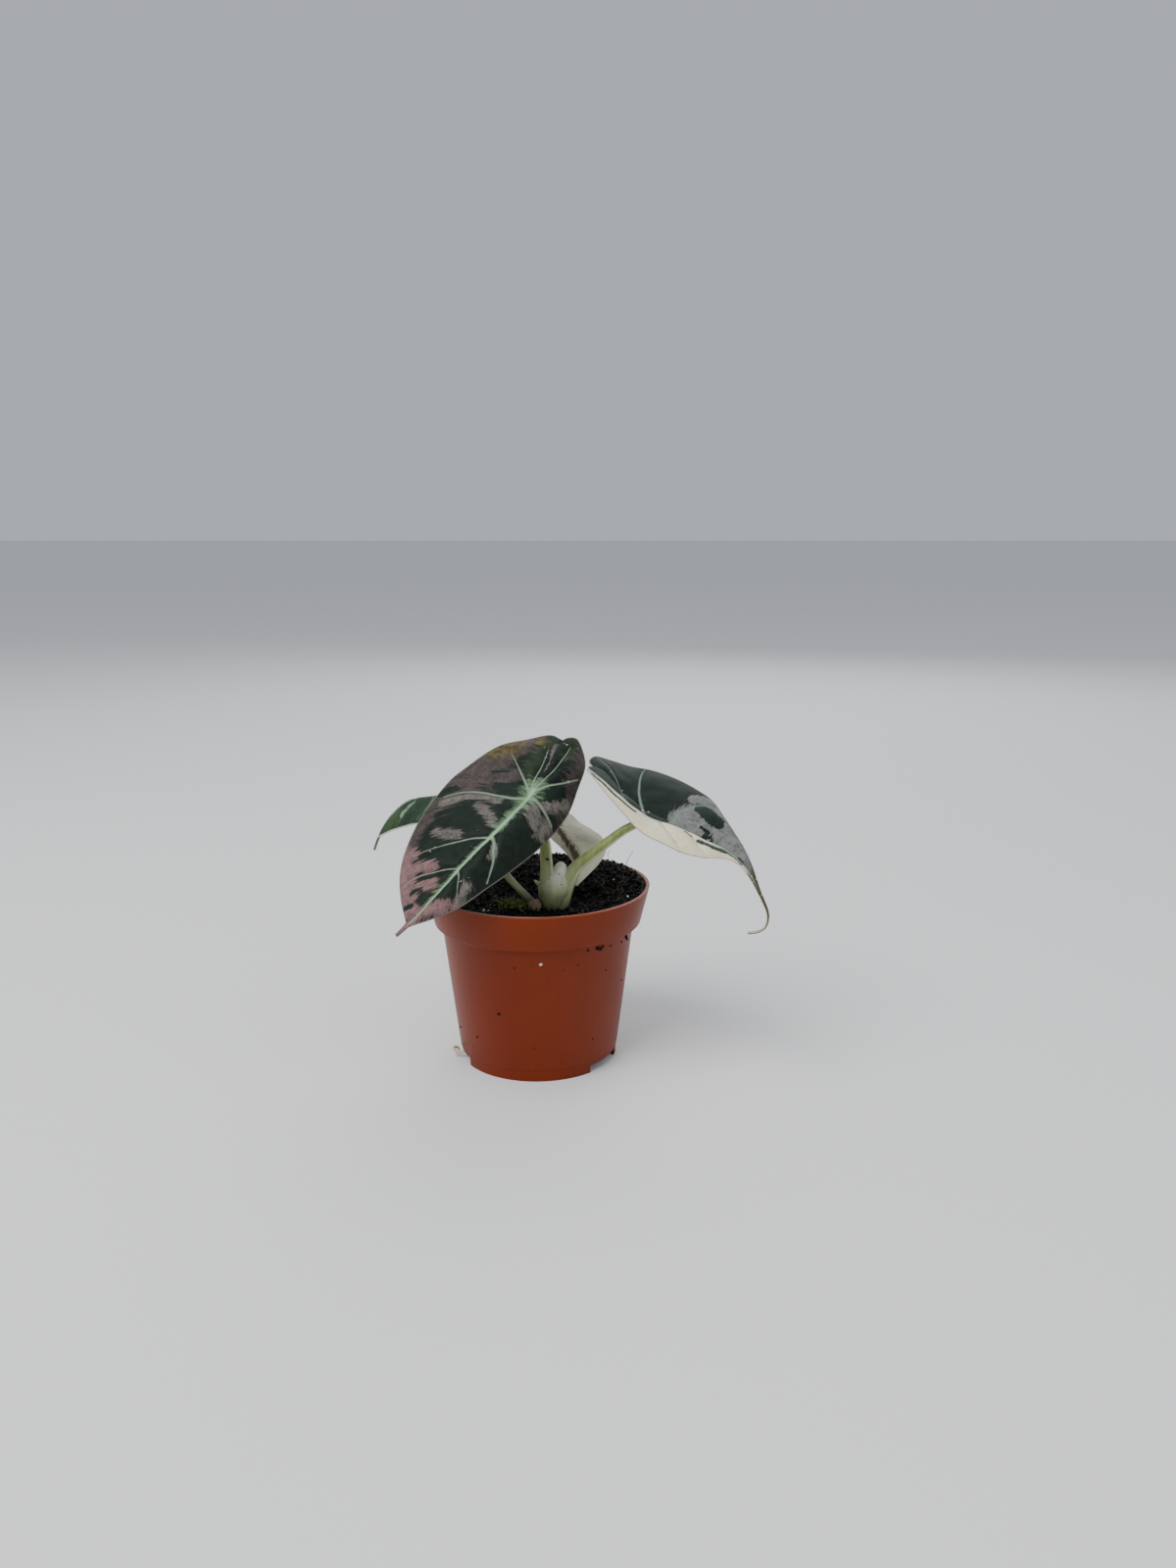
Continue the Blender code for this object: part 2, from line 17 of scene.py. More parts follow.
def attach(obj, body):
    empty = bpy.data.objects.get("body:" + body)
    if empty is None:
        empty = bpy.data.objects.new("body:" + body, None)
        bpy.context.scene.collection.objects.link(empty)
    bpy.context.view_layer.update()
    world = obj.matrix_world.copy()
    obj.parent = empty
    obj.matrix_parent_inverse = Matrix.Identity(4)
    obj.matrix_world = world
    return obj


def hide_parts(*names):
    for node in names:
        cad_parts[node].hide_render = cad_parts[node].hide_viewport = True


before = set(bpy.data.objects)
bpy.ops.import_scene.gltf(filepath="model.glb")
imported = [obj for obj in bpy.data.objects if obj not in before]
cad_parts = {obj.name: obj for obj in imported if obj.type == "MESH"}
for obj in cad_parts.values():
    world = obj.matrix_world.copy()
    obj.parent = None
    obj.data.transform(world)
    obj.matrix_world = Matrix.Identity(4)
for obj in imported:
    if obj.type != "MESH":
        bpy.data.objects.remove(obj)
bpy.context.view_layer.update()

MM = 0.001
print("nodes to dress:", sorted(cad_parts))

# %% [markdown]
# Every finished piece goes through one helper. It merges doubles, turns the faces
# outwards, shades the mesh smooth and rides it on the plant's only body. A piece
# that stands for a solid names it, so the plain solid isn't shown. Two smaller
# helpers turn a bmesh into mesh data and put an object into the scene.

# %% Helpers that finish a piece


def mesh_from(name, bm):
    mesh = bpy.data.meshes.new(name)
    bm.to_mesh(mesh)
    bm.free()
    return mesh


def placed(name, data):
    made = bpy.data.objects.new(name, data)
    bpy.context.scene.collection.objects.link(made)
    return made


def finished(name, bm, material, stands_for=None, sharp=40, merge=0.002):
    bmesh.ops.remove_doubles(bm, verts=bm.verts, dist=merge * MM)
    bmesh.ops.recalc_face_normals(bm, faces=bm.faces)
    mesh = mesh_from(name, bm)
    mesh.shade_smooth()
    mesh.set_sharp_from_angle(angle=math.radians(sharp))
    mesh.materials.append(material)
    piece = placed(name, mesh)
    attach(piece, "root")
    if stands_for:
        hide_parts(stands_for)
    print(name, len(mesh.polygons), "faces")
    return piece


# %% [markdown]
# Plant skins and plastic are all one shader with a colour that varies. Small helpers
# keep the node trees short: they start a material, look up a place on the piece,
# make soft noise, mix two colours, and turn a field that was stored on the mesh
# into a crisp, uneven patch edge. Tones are written as they look on screen.

# %% Helpers for materials


def tone(red, green, blue):
    """A colour given as it looks on screen, 0 to 255, made linear for the shader."""
    return tuple((c / 255 / 12.92) if c < 10.3 else ((c / 255 + 0.055) / 1.055) ** 2.4
                 for c in (red, green, blue)) + (1.0,)


def new_material(name, **sockets):
    material = bpy.data.materials.new(name)
    material.use_nodes = True
    shader = material.node_tree.nodes["Principled BSDF"]
    for socket, value in sockets.items():
        shader.inputs[socket.replace("_", " ")].default_value = value
    return material


def add_node(material, kind, values=None, **settings):
    made = material.node_tree.nodes.new("ShaderNode" + kind)
    for key, value in settings.items():
        setattr(made, key, value)
    for key, value in (values or {}).items():
        if isinstance(value, bpy.types.NodeSocket):
            material.node_tree.links.new(value, made.inputs[key])
        else:
            made.inputs[key].default_value = value
    return made


def paint(material, socket, value):
    shader = material.node_tree.nodes["Principled BSDF"]
    material.node_tree.links.new(value, shader.inputs[socket])


def mixed(material, factor, under, over):
    """One colour over another. Each is a node's output or an on-screen (red, green, blue)."""
    under, over = (tone(*c) if isinstance(c, tuple) else c for c in (under, over))
    blend = add_node(material, "Mix", {0: factor, 6: under, 7: over}, data_type='RGBA')
    return blend.outputs[2]


def place_on(material):
    return add_node(material, "TexCoord").outputs["Object"]


def height_on(material):
    return add_node(material, "SeparateXYZ", {0: place_on(material)}).outputs["Z"]


def cloud(material, scale, detail, stretch=(1, 1, 1), rough=0.5):
    """Soft noise on the object's own coordinates; scale is in lumps per metre."""
    where = add_node(material, "Mapping", {"Vector": place_on(material), "Scale": stretch})
    return add_node(material, "TexNoise", {"Vector": where.outputs[0], "Scale": scale,
                                           "Detail": detail, "Roughness": rough}).outputs["Fac"]


def field(material, name):
    return add_node(material, "Attribute", attribute_name=name).outputs["Fac"]


def patch(material, source, low, high, wobble=None, amount=0.0, top=1.0):
    """0 to top factor: where the source passes from low to high, shaken by a noise."""
    if wobble is not None:
        centred = add_node(material, "Math", {0: wobble, 1: 0.5}, operation='SUBTRACT').outputs[0]
        source = add_node(material, "Math", {0: centred, 1: amount, 2: source},
                          operation='MULTIPLY_ADD').outputs[0]
    return add_node(material, "MapRange", {"Value": source, "From Min": low, "From Max": high,
                                           "To Max": top}).outputs[0]


def relief(material, height, distance, strength):
    bump = add_node(material, "Bump", {"Height": height, "Distance": distance,
                                       "Strength": strength})
    paint(material, "Normal", bump.outputs[0])


def two_tone(name, scale, detail, dark, light, rough=0.5, **sockets):
    """A material whose colour drifts from one tone to another."""
    material = new_material(name, **sockets)
    drift = cloud(material, scale, detail, rough=rough)
    paint(material, "Base Color", mixed(material, drift, dark, light))
    return material


# %% [markdown]
# The pot is thin moulded plastic, turned about its axis, so one profile spun round
# makes it. It has a flared band under the lip, a slope in to the wall, a faint
# ledge low down and three drain notches. The corners of the profile are rounded
# before the spin, because moulded plastic has no sharp edge to catch the light.

# %% Pot profile and spin
POT_H, RIM_R, BAND_H, BAND_FOOT_R = 55.2, 35.0, 11.1, 32.3
BODY_TOP_R, BASE_R, WALL, FLOOR = 29.95, 24.6, 1.15, 1.4
BAND_IN, LEDGE_Z, LEDGE_SLOPE, LEDGE_DEPTH = 1.45, 3.6, 0.2, 0.3
BAND_FOOT_Z = POT_H - BAND_H
STEP_Z = BAND_FOOT_Z - 1.3
POT_TURNS, CORNER = 180, 0.1


def wall_out(z):
    if z >= BAND_FOOT_Z:
        return BAND_FOOT_R + (RIM_R - BAND_FOOT_R) * (z - BAND_FOOT_Z) / BAND_H
    return BASE_R + (BODY_TOP_R - BASE_R) * z / STEP_Z


pot_line = [(0, FLOOR), (BASE_R - WALL, FLOOR), (wall_out(STEP_Z) - WALL, STEP_Z),
            (wall_out(BAND_FOOT_Z + BAND_IN) - WALL, BAND_FOOT_Z + BAND_IN),
            (RIM_R - WALL, POT_H), (RIM_R, POT_H), (BAND_FOOT_R, BAND_FOOT_Z),
            (BODY_TOP_R, STEP_Z), (wall_out(LEDGE_Z), LEDGE_Z + LEDGE_SLOPE),
            (wall_out(LEDGE_Z) - LEDGE_DEPTH, LEDGE_Z), (BASE_R, 0), (0, 0)]


def spun(line, turns, rounding=0.0):
    """A profile in the XZ plane, its corners rounded, turned full circle about Z."""
    bm = bmesh.new()
    ends = [bm.verts.new((r * MM, 0, z * MM)) for r, z in line]
    for a, b in zip(ends, ends[1:]):
        bm.edges.new((a, b))
    if rounding:
        bmesh.ops.bevel(bm, geom=ends[1:-1], offset=rounding * MM, offset_type='OFFSET',
                        segments=3, profile=0.5, affect='VERTICES', material=-1)
    bmesh.ops.spin(bm, geom=bm.verts[:] + bm.edges[:], cent=(0, 0, 0), axis=(0, 0, 1),
                   angle=math.tau, steps=turns, use_merge=True, use_duplicate=False)
    bmesh.ops.remove_doubles(bm, verts=bm.verts, dist=0.005 * MM)
    return bm


pot_shape = spun(pot_line, POT_TURNS, rounding=CORNER)
print("pot profile points:", len(pot_line), "spun into", len(pot_shape.faces), "faces")

# %% [markdown]
# The plastic is orange-brown with a satin gloss. Its tone drifts a little, specks of
# dry dust lie on it, and a pale highlight is painted along the lip. The drift and the
# dust are noise, and the painted highlight is where the height is almost that of the rim.

# %% Pot plastic
pot_plastic = new_material("pot plastic", Roughness=0.42, Specular_IOR_Level=0.2)
pot_colour = mixed(pot_plastic, cloud(pot_plastic, 38, 3), (102, 29, 0), (118, 40, 0))
dust = patch(pot_plastic, cloud(pot_plastic, 260, 8, rough=0.75), 0.6, 0.9)
pot_colour = mixed(pot_plastic, dust, pot_colour, (136, 60, 16))
# Painted highlight: the lip is made paler just under the rim's height, for the light it catches.
lip_highlight = patch(pot_plastic, height_on(pot_plastic), 0.05465, 0.05515,
            cloud(pot_plastic, 300, 3), 0.0006)
pot_colour = mixed(pot_plastic, lip_highlight, pot_colour, (126, 56, 26))
paint(pot_plastic, "Base Color", pot_colour)
relief(pot_plastic, cloud(pot_plastic, 1500, 5), 0.00004, 0.5)

# %% [markdown]
# The drain notches are cut with boxes. The cut is worked out once and the boxes
# are thrown away, so the pot is left as one plain mesh.

# %% Drain notches
NOTCH_AT_DEG = (30.5, 165.5, 278.0)
NOTCH_SIZE = (5.2, 14.8, 5.0)
NOTCH_CENTRE_R = 23.6
notch_shape = bmesh.new()
for at in NOTCH_AT_DEG:
    turn = Matrix.Rotation(-math.radians(at), 4, 'Z')
    place = turn @ Matrix.Translation((NOTCH_CENTRE_R * MM, 0, 0))
    bmesh.ops.create_cube(notch_shape, size=1.0,
                          matrix=place @ Matrix.Diagonal((*[s * MM for s in NOTCH_SIZE], 1.0)))
notch_boxes = placed("notch boxes", mesh_from("notch boxes", notch_shape))
pot = finished("nursery_pot", pot_shape, pot_plastic, "pot", sharp=50)
cut = pot.modifiers.new("notches", 'BOOLEAN')
cut.object, cut.solver = notch_boxes, 'EXACT'
worked_out = pot.evaluated_get(bpy.context.evaluated_depsgraph_get())
cut_mesh = bpy.data.meshes.new_from_object(worked_out)
pot.modifiers.clear()
pot.data = cut_mesh
cut_mesh.materials.clear()
cut_mesh.materials.append(pot_plastic)
bpy.data.objects.remove(notch_boxes, do_unlink=True)
print("pot with notches:", len(cut_mesh.polygons), "faces")

# %% [markdown]
# The soil is peat and coir, lowest at the front and heaped towards the back right.
# A flat disc with many rings is spun and its top is lifted: first the heap that the
# solid has, then coarse and fine lumps. Loose crumbs are added after it, because a
# height alone can't overhang as crumbs do.

# %% Soil heap
SOIL_FRONT_Z, SOIL_RISE, SOIL_LUMP, SOIL_FOOT_Z = 51.4, 4.4, 0.55, 1.7
HEAP_X, HEAP_Y, HEAP_START, HEAP_RUN = 0.35, 0.85, 8, 30
COARSE = ((1.0, 0.16, 2.7), (0.6, 0.41, 9.1))
FINE = ((0.8, 0.5, 4), (0.5, 1.6, 7))
SOIL_RINGS, SOIL_TURNS, FLAT_Z = 84, 210, 60
soil_rng = random.Random(5)


def lumps(x, y, sizes):
    """A sum of noises, each (height, lumps per mm, layer of the noise)."""
    return sum(height * noise.noise(Vector((x * rate, y * rate, layer)))
               for height, rate, layer in sizes)


def soil_height(x, y, fine=True):
    t = min(max((HEAP_X * x + HEAP_Y * y + HEAP_START) / HEAP_RUN, 0), 1)
    z = SOIL_FRONT_Z + SOIL_RISE * t * t * (3 - 2 * t) + SOIL_LUMP * lumps(x, y, COARSE)
    return z + lumps(x, y, FINE) if fine else z


def wall_in(z):
    """The pot's inner radius less a hair, which stops widening just under the rim."""
    return wall_out(min(z, POT_H - 0.6)) - WALL - 0.02


soil_top_r = wall_in(SOIL_FRONT_Z)
soil_line = [(soil_top_r * k / SOIL_RINGS, FLAT_Z) for k in range(SOIL_RINGS + 1)]
soil_line += [(wall_in(STEP_Z) - 0.3, STEP_Z), (wall_in(SOIL_FOOT_Z) - 1.3, SOIL_FOOT_Z),
              (0, SOIL_FOOT_Z)]
soil_shape = spun(soil_line, SOIL_TURNS)
for v in soil_shape.verts:
    if v.co.z > (FLAT_Z - 1) * MM:
        x, y = v.co.x / MM, v.co.y / MM
        out = math.hypot(x, y) / soil_top_r
        edge = wall_in(soil_height(x, y, False)) / soil_top_r
        stretch = 1 + (edge - 1) * out ** 4
        v.co = Vector((x * stretch, y * stretch, soil_height(x, y) - 0.5 * out ** 12)) * MM
print("soil rises from", round(soil_height(0, -30), 1), "to", round(soil_height(15, 25), 1), "mm")

# %% [markdown]
# Damp peat is nearly black with brown coir dust in it, and small wet grains that
# glint. The colour is two noises, one for clods and one for grains.

# %% Soil colour
soil_skin = new_material("damp peat", Roughness=0.6, Specular_IOR_Level=0.15)
grain = cloud(soil_skin, 1400, 6, rough=0.7)
clod = cloud(soil_skin, 210, 4)
soil_colour = mixed(soil_skin, patch(soil_skin, clod, 0.4, 0.7), (5, 4, 4), (15, 11, 9))
soil_colour = mixed(soil_skin, patch(soil_skin, grain, 0.58, 0.72), soil_colour, (48, 35, 27))
paint(soil_skin, "Base Color", soil_colour)
relief(soil_skin, grain, 0.0005, 0.9)
finished("soil_heap", soil_shape, soil_skin, "soil", sharp=180)

# %% [markdown]
# Crumbs: thousands of small lumps lie all over the heap, one in ten of them larger.
# Each is a ball of only twenty faces, squashed, turned and half sunk, because so
# many have to stay light.

# %% Soil crumbs
CRUMBS, CRUMB_SPOTS_R, LARGE_SHARE, LARGER = 5200, 32.6, 0.1, 1.8


def gathered(places, make, batch=60):
    """Many small shapes, made a few at a time and then gathered, which is far quicker."""
    whole = bmesh.new()
    for k in range(0, len(places), batch):
        part = bmesh.new()
        for place in places[k:k + batch]:
            make(part, *place)
        carrier = mesh_from("batch", part)
        whole.from_mesh(carrier)
        bpy.data.meshes.remove(carrier)
    return whole


def scatter_spot(rng, reach):
    angle, r = rng.uniform(0, math.tau), reach * math.sqrt(rng.random())
    return r * math.cos(angle), r * math.sin(angle)


def lump(bm, centre, radii, rng, levels=1):
    """A squashed, randomly turned little ball."""
    angle = rng.uniform(0, math.tau)
    axis = Vector((rng.random() - 0.5, rng.random() - 0.5, 0.6)).normalized()
    place = Matrix.Translation(Vector(centre) * MM) @ Matrix.Rotation(angle, 4, axis)
    place = place @ Matrix.Diagonal((*[r * MM for r in radii], 1.0))
    bmesh.ops.create_icosphere(bm, subdivisions=levels, radius=1.0, matrix=place)


crumb_places = []
for _ in range(CRUMBS):
    x, y = scatter_spot(soil_rng, CRUMB_SPOTS_R)
    z = soil_height(x, y)
    size = soil_rng.uniform(0.2, 0.6) * (LARGER if soil_rng.random() < LARGE_SHARE else 1)
    if math.hypot(x, y) < wall_in(z) - size:
        radii = (size, size * soil_rng.uniform(0.5, 1), size * soil_rng.uniform(0.4, 0.8))
        crumb_places.append(((x, y, z + size * soil_rng.uniform(0.1, 0.9)), radii, soil_rng))
finished("soil_crumbs", gathered(crumb_places, lump), soil_skin, sharp=30, merge=0)

# %% [markdown]
# Stalks, fibres, roots and the crown are all swept: a circle is extruded ring by
# ring along a smooth path. Each ring's points keep their angle in a layer, so the
# radius can vary round the stem and a finish can follow the stem later.

# %% A helper that sweeps a stem


def through(points, t):
    """Points at the places t on a smooth curve that passes through all the given ones."""
    p = np.asarray(points, float)
    p = np.vstack([2 * p[0] - p[1], p, 2 * p[-1] - p[-2]])
    t = np.clip(np.asarray(t, float), 0, len(p) - 3)
    i = np.minimum(t.astype(int), len(p) - 4)
    s = (t - i)[:, None]
    a, b, c, d = (p[i + k] for k in range(4))
    return 0.5 * (2 * b + (c - a) * s + (2 * a - 5 * b + 4 * c - d) * s * s
                  + (3 * b - a - 3 * c + d) * s ** 3)


def swept(bm, stations, sides, per_span, shape=None, flatten=1.0):
    """A closed stem through (point, radius) stations. shape(angle, along) changes the radius."""
    angle_of = bm.verts.layers.float.get("angle") or bm.verts.layers.float.new("angle")
    t = np.linspace(0, len(stations) - 1, (len(stations) - 1) * per_span + 1)
    path = through([p for p, r in stations], t)
    radii = through([(r, 0, 0) for p, r in stations], t)[:, 0]
    made = bmesh.ops.create_circle(bm, cap_ends=True, segments=sides, radius=1.0)["verts"]
    for v in made:
        v[angle_of] = math.atan2(v.co.y, v.co.x)
    ring = list(dict.fromkeys(e for v in made for e in v.link_edges))
    side = Vector((1, 0, 0))
    for k, (centre, radius) in enumerate(zip(path, radii)):
        ahead = Vector(path[min(k + 1, len(path) - 1)] - path[max(k - 1, 0)]).normalized()
        side = (side - side.dot(ahead) * ahead).normalized()
        other = ahead.cross(side)
        if k:
            grown = bmesh.ops.extrude_edge_only(bm, edges=ring)["geom"]
            made = [g for g in grown if isinstance(g, bmesh.types.BMVert)]
            new = set(made)
            ring = [g for g in grown
                    if isinstance(g, bmesh.types.BMEdge) and new.issuperset(g.verts)]
        for v in made:
            a = v[angle_of]
            r = float(radius) * (shape(a, k / (len(path) - 1)) if shape else 1.0)
            spot = Vector(centre) + r * math.cos(a) * side + r * flatten * math.sin(a) * other
            v.co = spot * MM
    bmesh.ops.contextual_create(bm, geom=ring)


# %% [markdown]
# Coir fibres stick out of the soil, most of them flat and a few upright at the back
# and the right. White perlite grains and a cushion of moss beside the crown break
# the black. Fibres are thin sweeps, and grains and moss are the crumbs' little balls.

# %% Fibres, perlite and moss
FIBRES, FIBRE_STEPS, FIBRE_RISE = 110, (0, 0.33, 0.7, 1), (0, 0.4, 0.8, 1)
FIBRE_SPOTS_R, FIBRE_ENDS_R, TALL_FIBRE_R = 30.0, 32, 0.09
TALL_FIBRES = (((27.5, 10, 55.5), (28, 10, 58.5), (29, 10, 61), (30.2, 10, 62.8)),
               ((22, 16, 55.5), (22.5, 16, 58), (22.2, 16.5, 60), (23, 17, 61.5)),
               ((12, 22, 56), (11, 22, 58.5), (9.5, 21.5, 60), (8, 21, 60.5)))
fibre_skin = two_tone("coir fibre", 120, 2, (52, 36, 25), (116, 92, 64), Roughness=0.8)
strands = []
for _ in range(FIBRES):
    x, y = scatter_spot(soil_rng, FIBRE_SPOTS_R)
    lift = soil_rng.uniform(0.0, 0.9) ** 3 * 3
    heading, reach = soil_rng.uniform(0, math.tau), soil_rng.uniform(1.5, 4.5)
    steps = [(x + reach * s * math.cos(heading + s), y + reach * s * math.sin(heading + s))
             for s in FIBRE_STEPS]
    steps = [(a, b, soil_height(a, b) + 0.25 + lift * s)
             for (a, b), s in zip(steps, FIBRE_RISE) if math.hypot(a, b) < FIBRE_ENDS_R]
    if len(steps) == len(FIBRE_STEPS):
        strands.append(([(p, soil_rng.uniform(0.05, 0.11)) for p in steps], 5, 2))
strands += [([(p, TALL_FIBRE_R) for p in tall], 6, 3) for tall in TALL_FIBRES]
finished("coir_fibres", gathered(strands, swept, 10), fibre_skin, merge=0)

perlite_skin = two_tone("perlite", 900, 3, (196, 190, 180), (232, 230, 224), Roughness=0.85)
PERLITE_AT = (
    (-14, -18), (-15.5, -17), (-20, -22), (10, -27), (19, -20), (24, 4), (-24, 2), (-6, -26),
    (14, 18), (-12, 20), (3, 27), (28, -8))
perlite = bmesh.new()
for x, y in PERLITE_AT:
    size = soil_rng.uniform(0.35, 0.75)
    lump(perlite, (x, y, soil_height(x, y) + 0.2 + size * 0.4),
         (size, size * 0.8, size * 0.7), soil_rng, 2)
finished("perlite_grains", perlite, perlite_skin, merge=0)

moss_skin = two_tone("moss", 700, 4, (50, 66, 20), (110, 122, 48), Roughness=0.8)
MOSS_TUFTS, MOSS_X, MOSS_Y = 420, (-6.5, 2.6), (-12.5, 1.9)
tufts = []
for _ in range(MOSS_TUFTS):
    x, y = soil_rng.gauss(*MOSS_X), soil_rng.gauss(*MOSS_Y)
    size = soil_rng.uniform(0.16, 0.42)
    tufts.append(((x, y, soil_height(x, y) + soil_rng.uniform(0.2, 1.3)),
                  (size, size, size * 1.3), soil_rng))
finished("moss_cushion", gathered(tufts, lump), moss_skin, sharp=180, merge=0)

# %% [markdown]
# The crown is the swollen foot of the stalks, flattened front to back, whitish
# green at the top and olive where it meets the soil, with fine veins running up it
# and a few dark specks. A blunt white shoot stands between the two large stalks.

# %% Crown and shoot
CROWN = (
    ((5.3, -12.2, 46), 3.0), ((5.3, -12.2, 48), 3.5), ((5.3, -12.2, 51), 4.0),
    ((5.4, -12.2, 54.5), 4.6), ((5.7, -12.2, 57.5), 5.0), ((6.0, -12.0, 60), 4.5),
    ((6.3, -11.8, 61.8), 3.2), ((6.5, -11.6, 62.6), 1.2))
SHOOT = (
    ((6.0, -12.7, 51), 2.3), ((6.3, -12.9, 55), 2.6), ((6.7, -12.8, 59), 2.5),
    ((7.3, -12.2, 62.4), 2.2), ((7.7, -11.7, 64.3), 1.6), ((7.9, -11.5, 65.2), 0.6))
FLAKE = (
    ((1.6, -13.2, 58.2), 0.7), ((0.9, -13.6, 59.0), 0.75), ((0.1, -14.0, 59.8), 0.5),
    ((-0.5, -14.2, 60.4), 0.12))


def ridged(count, depth):
    """Fine ridges round a stem, which fade a little at its ends."""
    def shape(angle, along):
        fade = math.sin(math.pi * min(max(along, 0.1), 0.9))
        return 1 + depth * math.cos(count * angle) * fade
    return shape


def by_height(material, colour, over, low, high, amount):
    """A tone that takes over between two heights in metres, with an uneven edge."""
    edge = patch(material, height_on(material), low, high, cloud(material, 260, 3), amount)
    return mixed(material, edge, colour, over)


DAMP = ((78, 84, 48), 0.0575, 0.0515, -0.004)
crown_skin = new_material("crown skin", Roughness=0.42, Subsurface_Weight=0.15,
                          Subsurface_Scale=0.002)
streaks = cloud(crown_skin, 900, 3, stretch=(1, 1, 0.06))
crown_colour = mixed(crown_skin, patch(crown_skin, streaks, 0.35, 0.7),
                     (150, 160, 122), (170, 178, 142))
crown_colour = by_height(crown_skin, crown_colour, *DAMP)
crown_colour = by_height(crown_skin, crown_colour, (204, 206, 190), 0.0585, 0.0635, 0.004)
specks = add_node(crown_skin, "TexVoronoi", {"Vector": place_on(crown_skin), "Scale": 420})
specks = patch(crown_skin, specks.outputs["Distance"], 0.12, 0.07)
crown_colour = mixed(crown_skin, specks, crown_colour, (60, 54, 40))
paint(crown_skin, "Base Color", crown_colour)
relief(crown_skin, streaks, 0.0003, 0.5)
crown = bmesh.new()
swept(crown, CROWN, sides=56, per_span=7, shape=ridged(17, 0.005), flatten=0.82)
swept(crown, SHOOT, sides=32, per_span=7, shape=ridged(11, 0.006))
swept(crown, FLAKE, sides=14, per_span=5, flatten=0.25)
finished("crown_and_shoot", crown, crown_skin, "crown", sharp=180, merge=0)

# %% [markdown]
# The corm is a small pinkish brown nub with a dry, scarred skin. The root that
# loops out of the left drain notch is off-white and slightly knobbly.

# %% Corm and root loop
CORM_AT, CORM_RADII = Vector((-0.3, -15.0, 52.4)), (2.0, 1.8, 2.3)
corm_skin = two_tone("corm skin", 700, 5, (84, 64, 48), (158, 134, 110), 0.7, Roughness=0.65)
relief(corm_skin, cloud(corm_skin, 900, 5), 0.0004, 0.7)
corm = bmesh.new()
bmesh.ops.create_icosphere(corm, subdivisions=4, radius=1.0)
for v in corm.verts:
    swell = 1 + 0.13 * noise.noise(v.co * 2) + 0.05 * noise.noise(v.co * 6)
    v.co = (Vector(r * c for r, c in zip(CORM_RADII, v.co)) * swell + CORM_AT) * MM
finished("corm_nub", corm, corm_skin, "corm", sharp=180)

ROOT = (
    (-22.6, -6.9, 2.25), (-24.4, -7.3, 1.7), (-26.0, -7.2, 1.9), (-26.9, -6.2, 2.5),
    (-26.6, -4.8, 2.4), (-25.7, -3.9, 1.6), (-25.4, -4.4, 0.8))
ROOT_R = 0.42
root_skin = two_tone("root skin", 500, 4, (186, 166, 132), (226, 214, 190), Roughness=0.6,
                     Subsurface_Weight=0.1, Subsurface_Scale=0.001)


def knobbly(angle, along):
    return 0.94 + 0.06 * noise.noise(Vector((angle, along * 20, 0)))


root = bmesh.new()
swept(root, [(p, ROOT_R) for p in ROOT], sides=14, per_span=6, shape=knobbly)
finished("root_loop", root, root_skin, "drain_root", merge=0)

# %% [markdown]
# Each leaf hangs from its stalk like a shield. Its form is given by stations from
# the notch between the back lobes to the tip: the midrib's point and the two
# margins. A flat grid is laid on that form, so the mesh follows the leaf: one
# direction runs across it from -1 to 1 and the other from station to station.
# The bow is how far each half swells, and the tip goes on as a point and a half
# width each. The stalk meets the midrib at the junction.

# %% Leaf forms
FRONT = dict(
    stations=(
        ((8, 3, 100),) * 3, ((6, -1, 97.5), (4, 7, 101), (12, 4, 100.5)),
        ((4, -5.5, 94.5), (-3, 8, 99.5), (14, 2, 97.5)),
        ((1, -12, 90.5), (-12.5, 6, 97.5), (15, -3, 93)),
        ((-2, -17, 86), (-22.5, 0, 91.5), (13, -10, 88)),
        ((-7, -23.5, 82), (-27.5, -4, 87.5), (9.5, -17, 80.5)),
        ((-12, -28, 77.5), (-34, -13, 79.5), (2.5, -24, 73.5)),
        ((-17, -32.5, 73.5), (-37.5, -21.5, 72), (-5.5, -32, 68.5)),
        ((-22, -36.5, 68.5), (-38.5, -28, 66), (-13, -38, 64.5)),
        ((-26.5, -39.5, 64), (-37.5, -34, 60.5), (-20, -42, 60.5)),
        ((-31.5, -42, 58.5), (-35.5, -40, 56.5), (-27.5, -43, 57.5))),
    tip=(((-34.6, -43, 55.7), 0.9), ((-37.6, -44, 53.2), 0.4)), bow=(0.6, 2.6), junction=4,
    seat=2.0, rib=1.6)
RIGHT = dict(
    stations=(
        ((18, -4, 92),) * 3, ((21, -6, 90), (16, -13, 95), (16, 2, 93.5)),
        ((24, -8.5, 88), (16, -18, 94.5), (18, 6, 94.5)),
        ((28, -11, 84.5), (19, -25, 92), (22.5, 8, 93)),
        ((33, -14.5, 81.5), (24.5, -31, 86.5), (29, 8, 91)),
        ((37.5, -17, 80), (30.5, -34, 80.5), (36, 6, 90)),
        ((42.5, -19.5, 78.5), (36.5, -35.5, 77.5), (43, 3, 88)),
        ((48, -21.5, 76), (42.5, -35, 74.5), (49, -1, 85.5)),
        ((53, -23, 73.5), (48.5, -33, 72.5), (54, -6, 82.5)),
        ((57.5, -24.5, 71), (54.5, -29, 71), (58, -13, 77)),
        ((60.5, -25.5, 68.5), (59, -27, 69), (61, -20, 73)),
        ((63, -26, 65), (61.5, -26.5, 66), (63.5, -23.5, 68))),
    tip=(
        ((65.7, -25.5, 60.2), 0.75), ((68.7, -24, 53.1), 0.5), ((68.6, -22, 48.2), 0.42),
        ((66.6, -20.5, 46), 0.4), ((63.7, -19, 45), 0.4)),
    bow=(1.2, 1.4), junction=4, seat=2.0, rib=1.5)
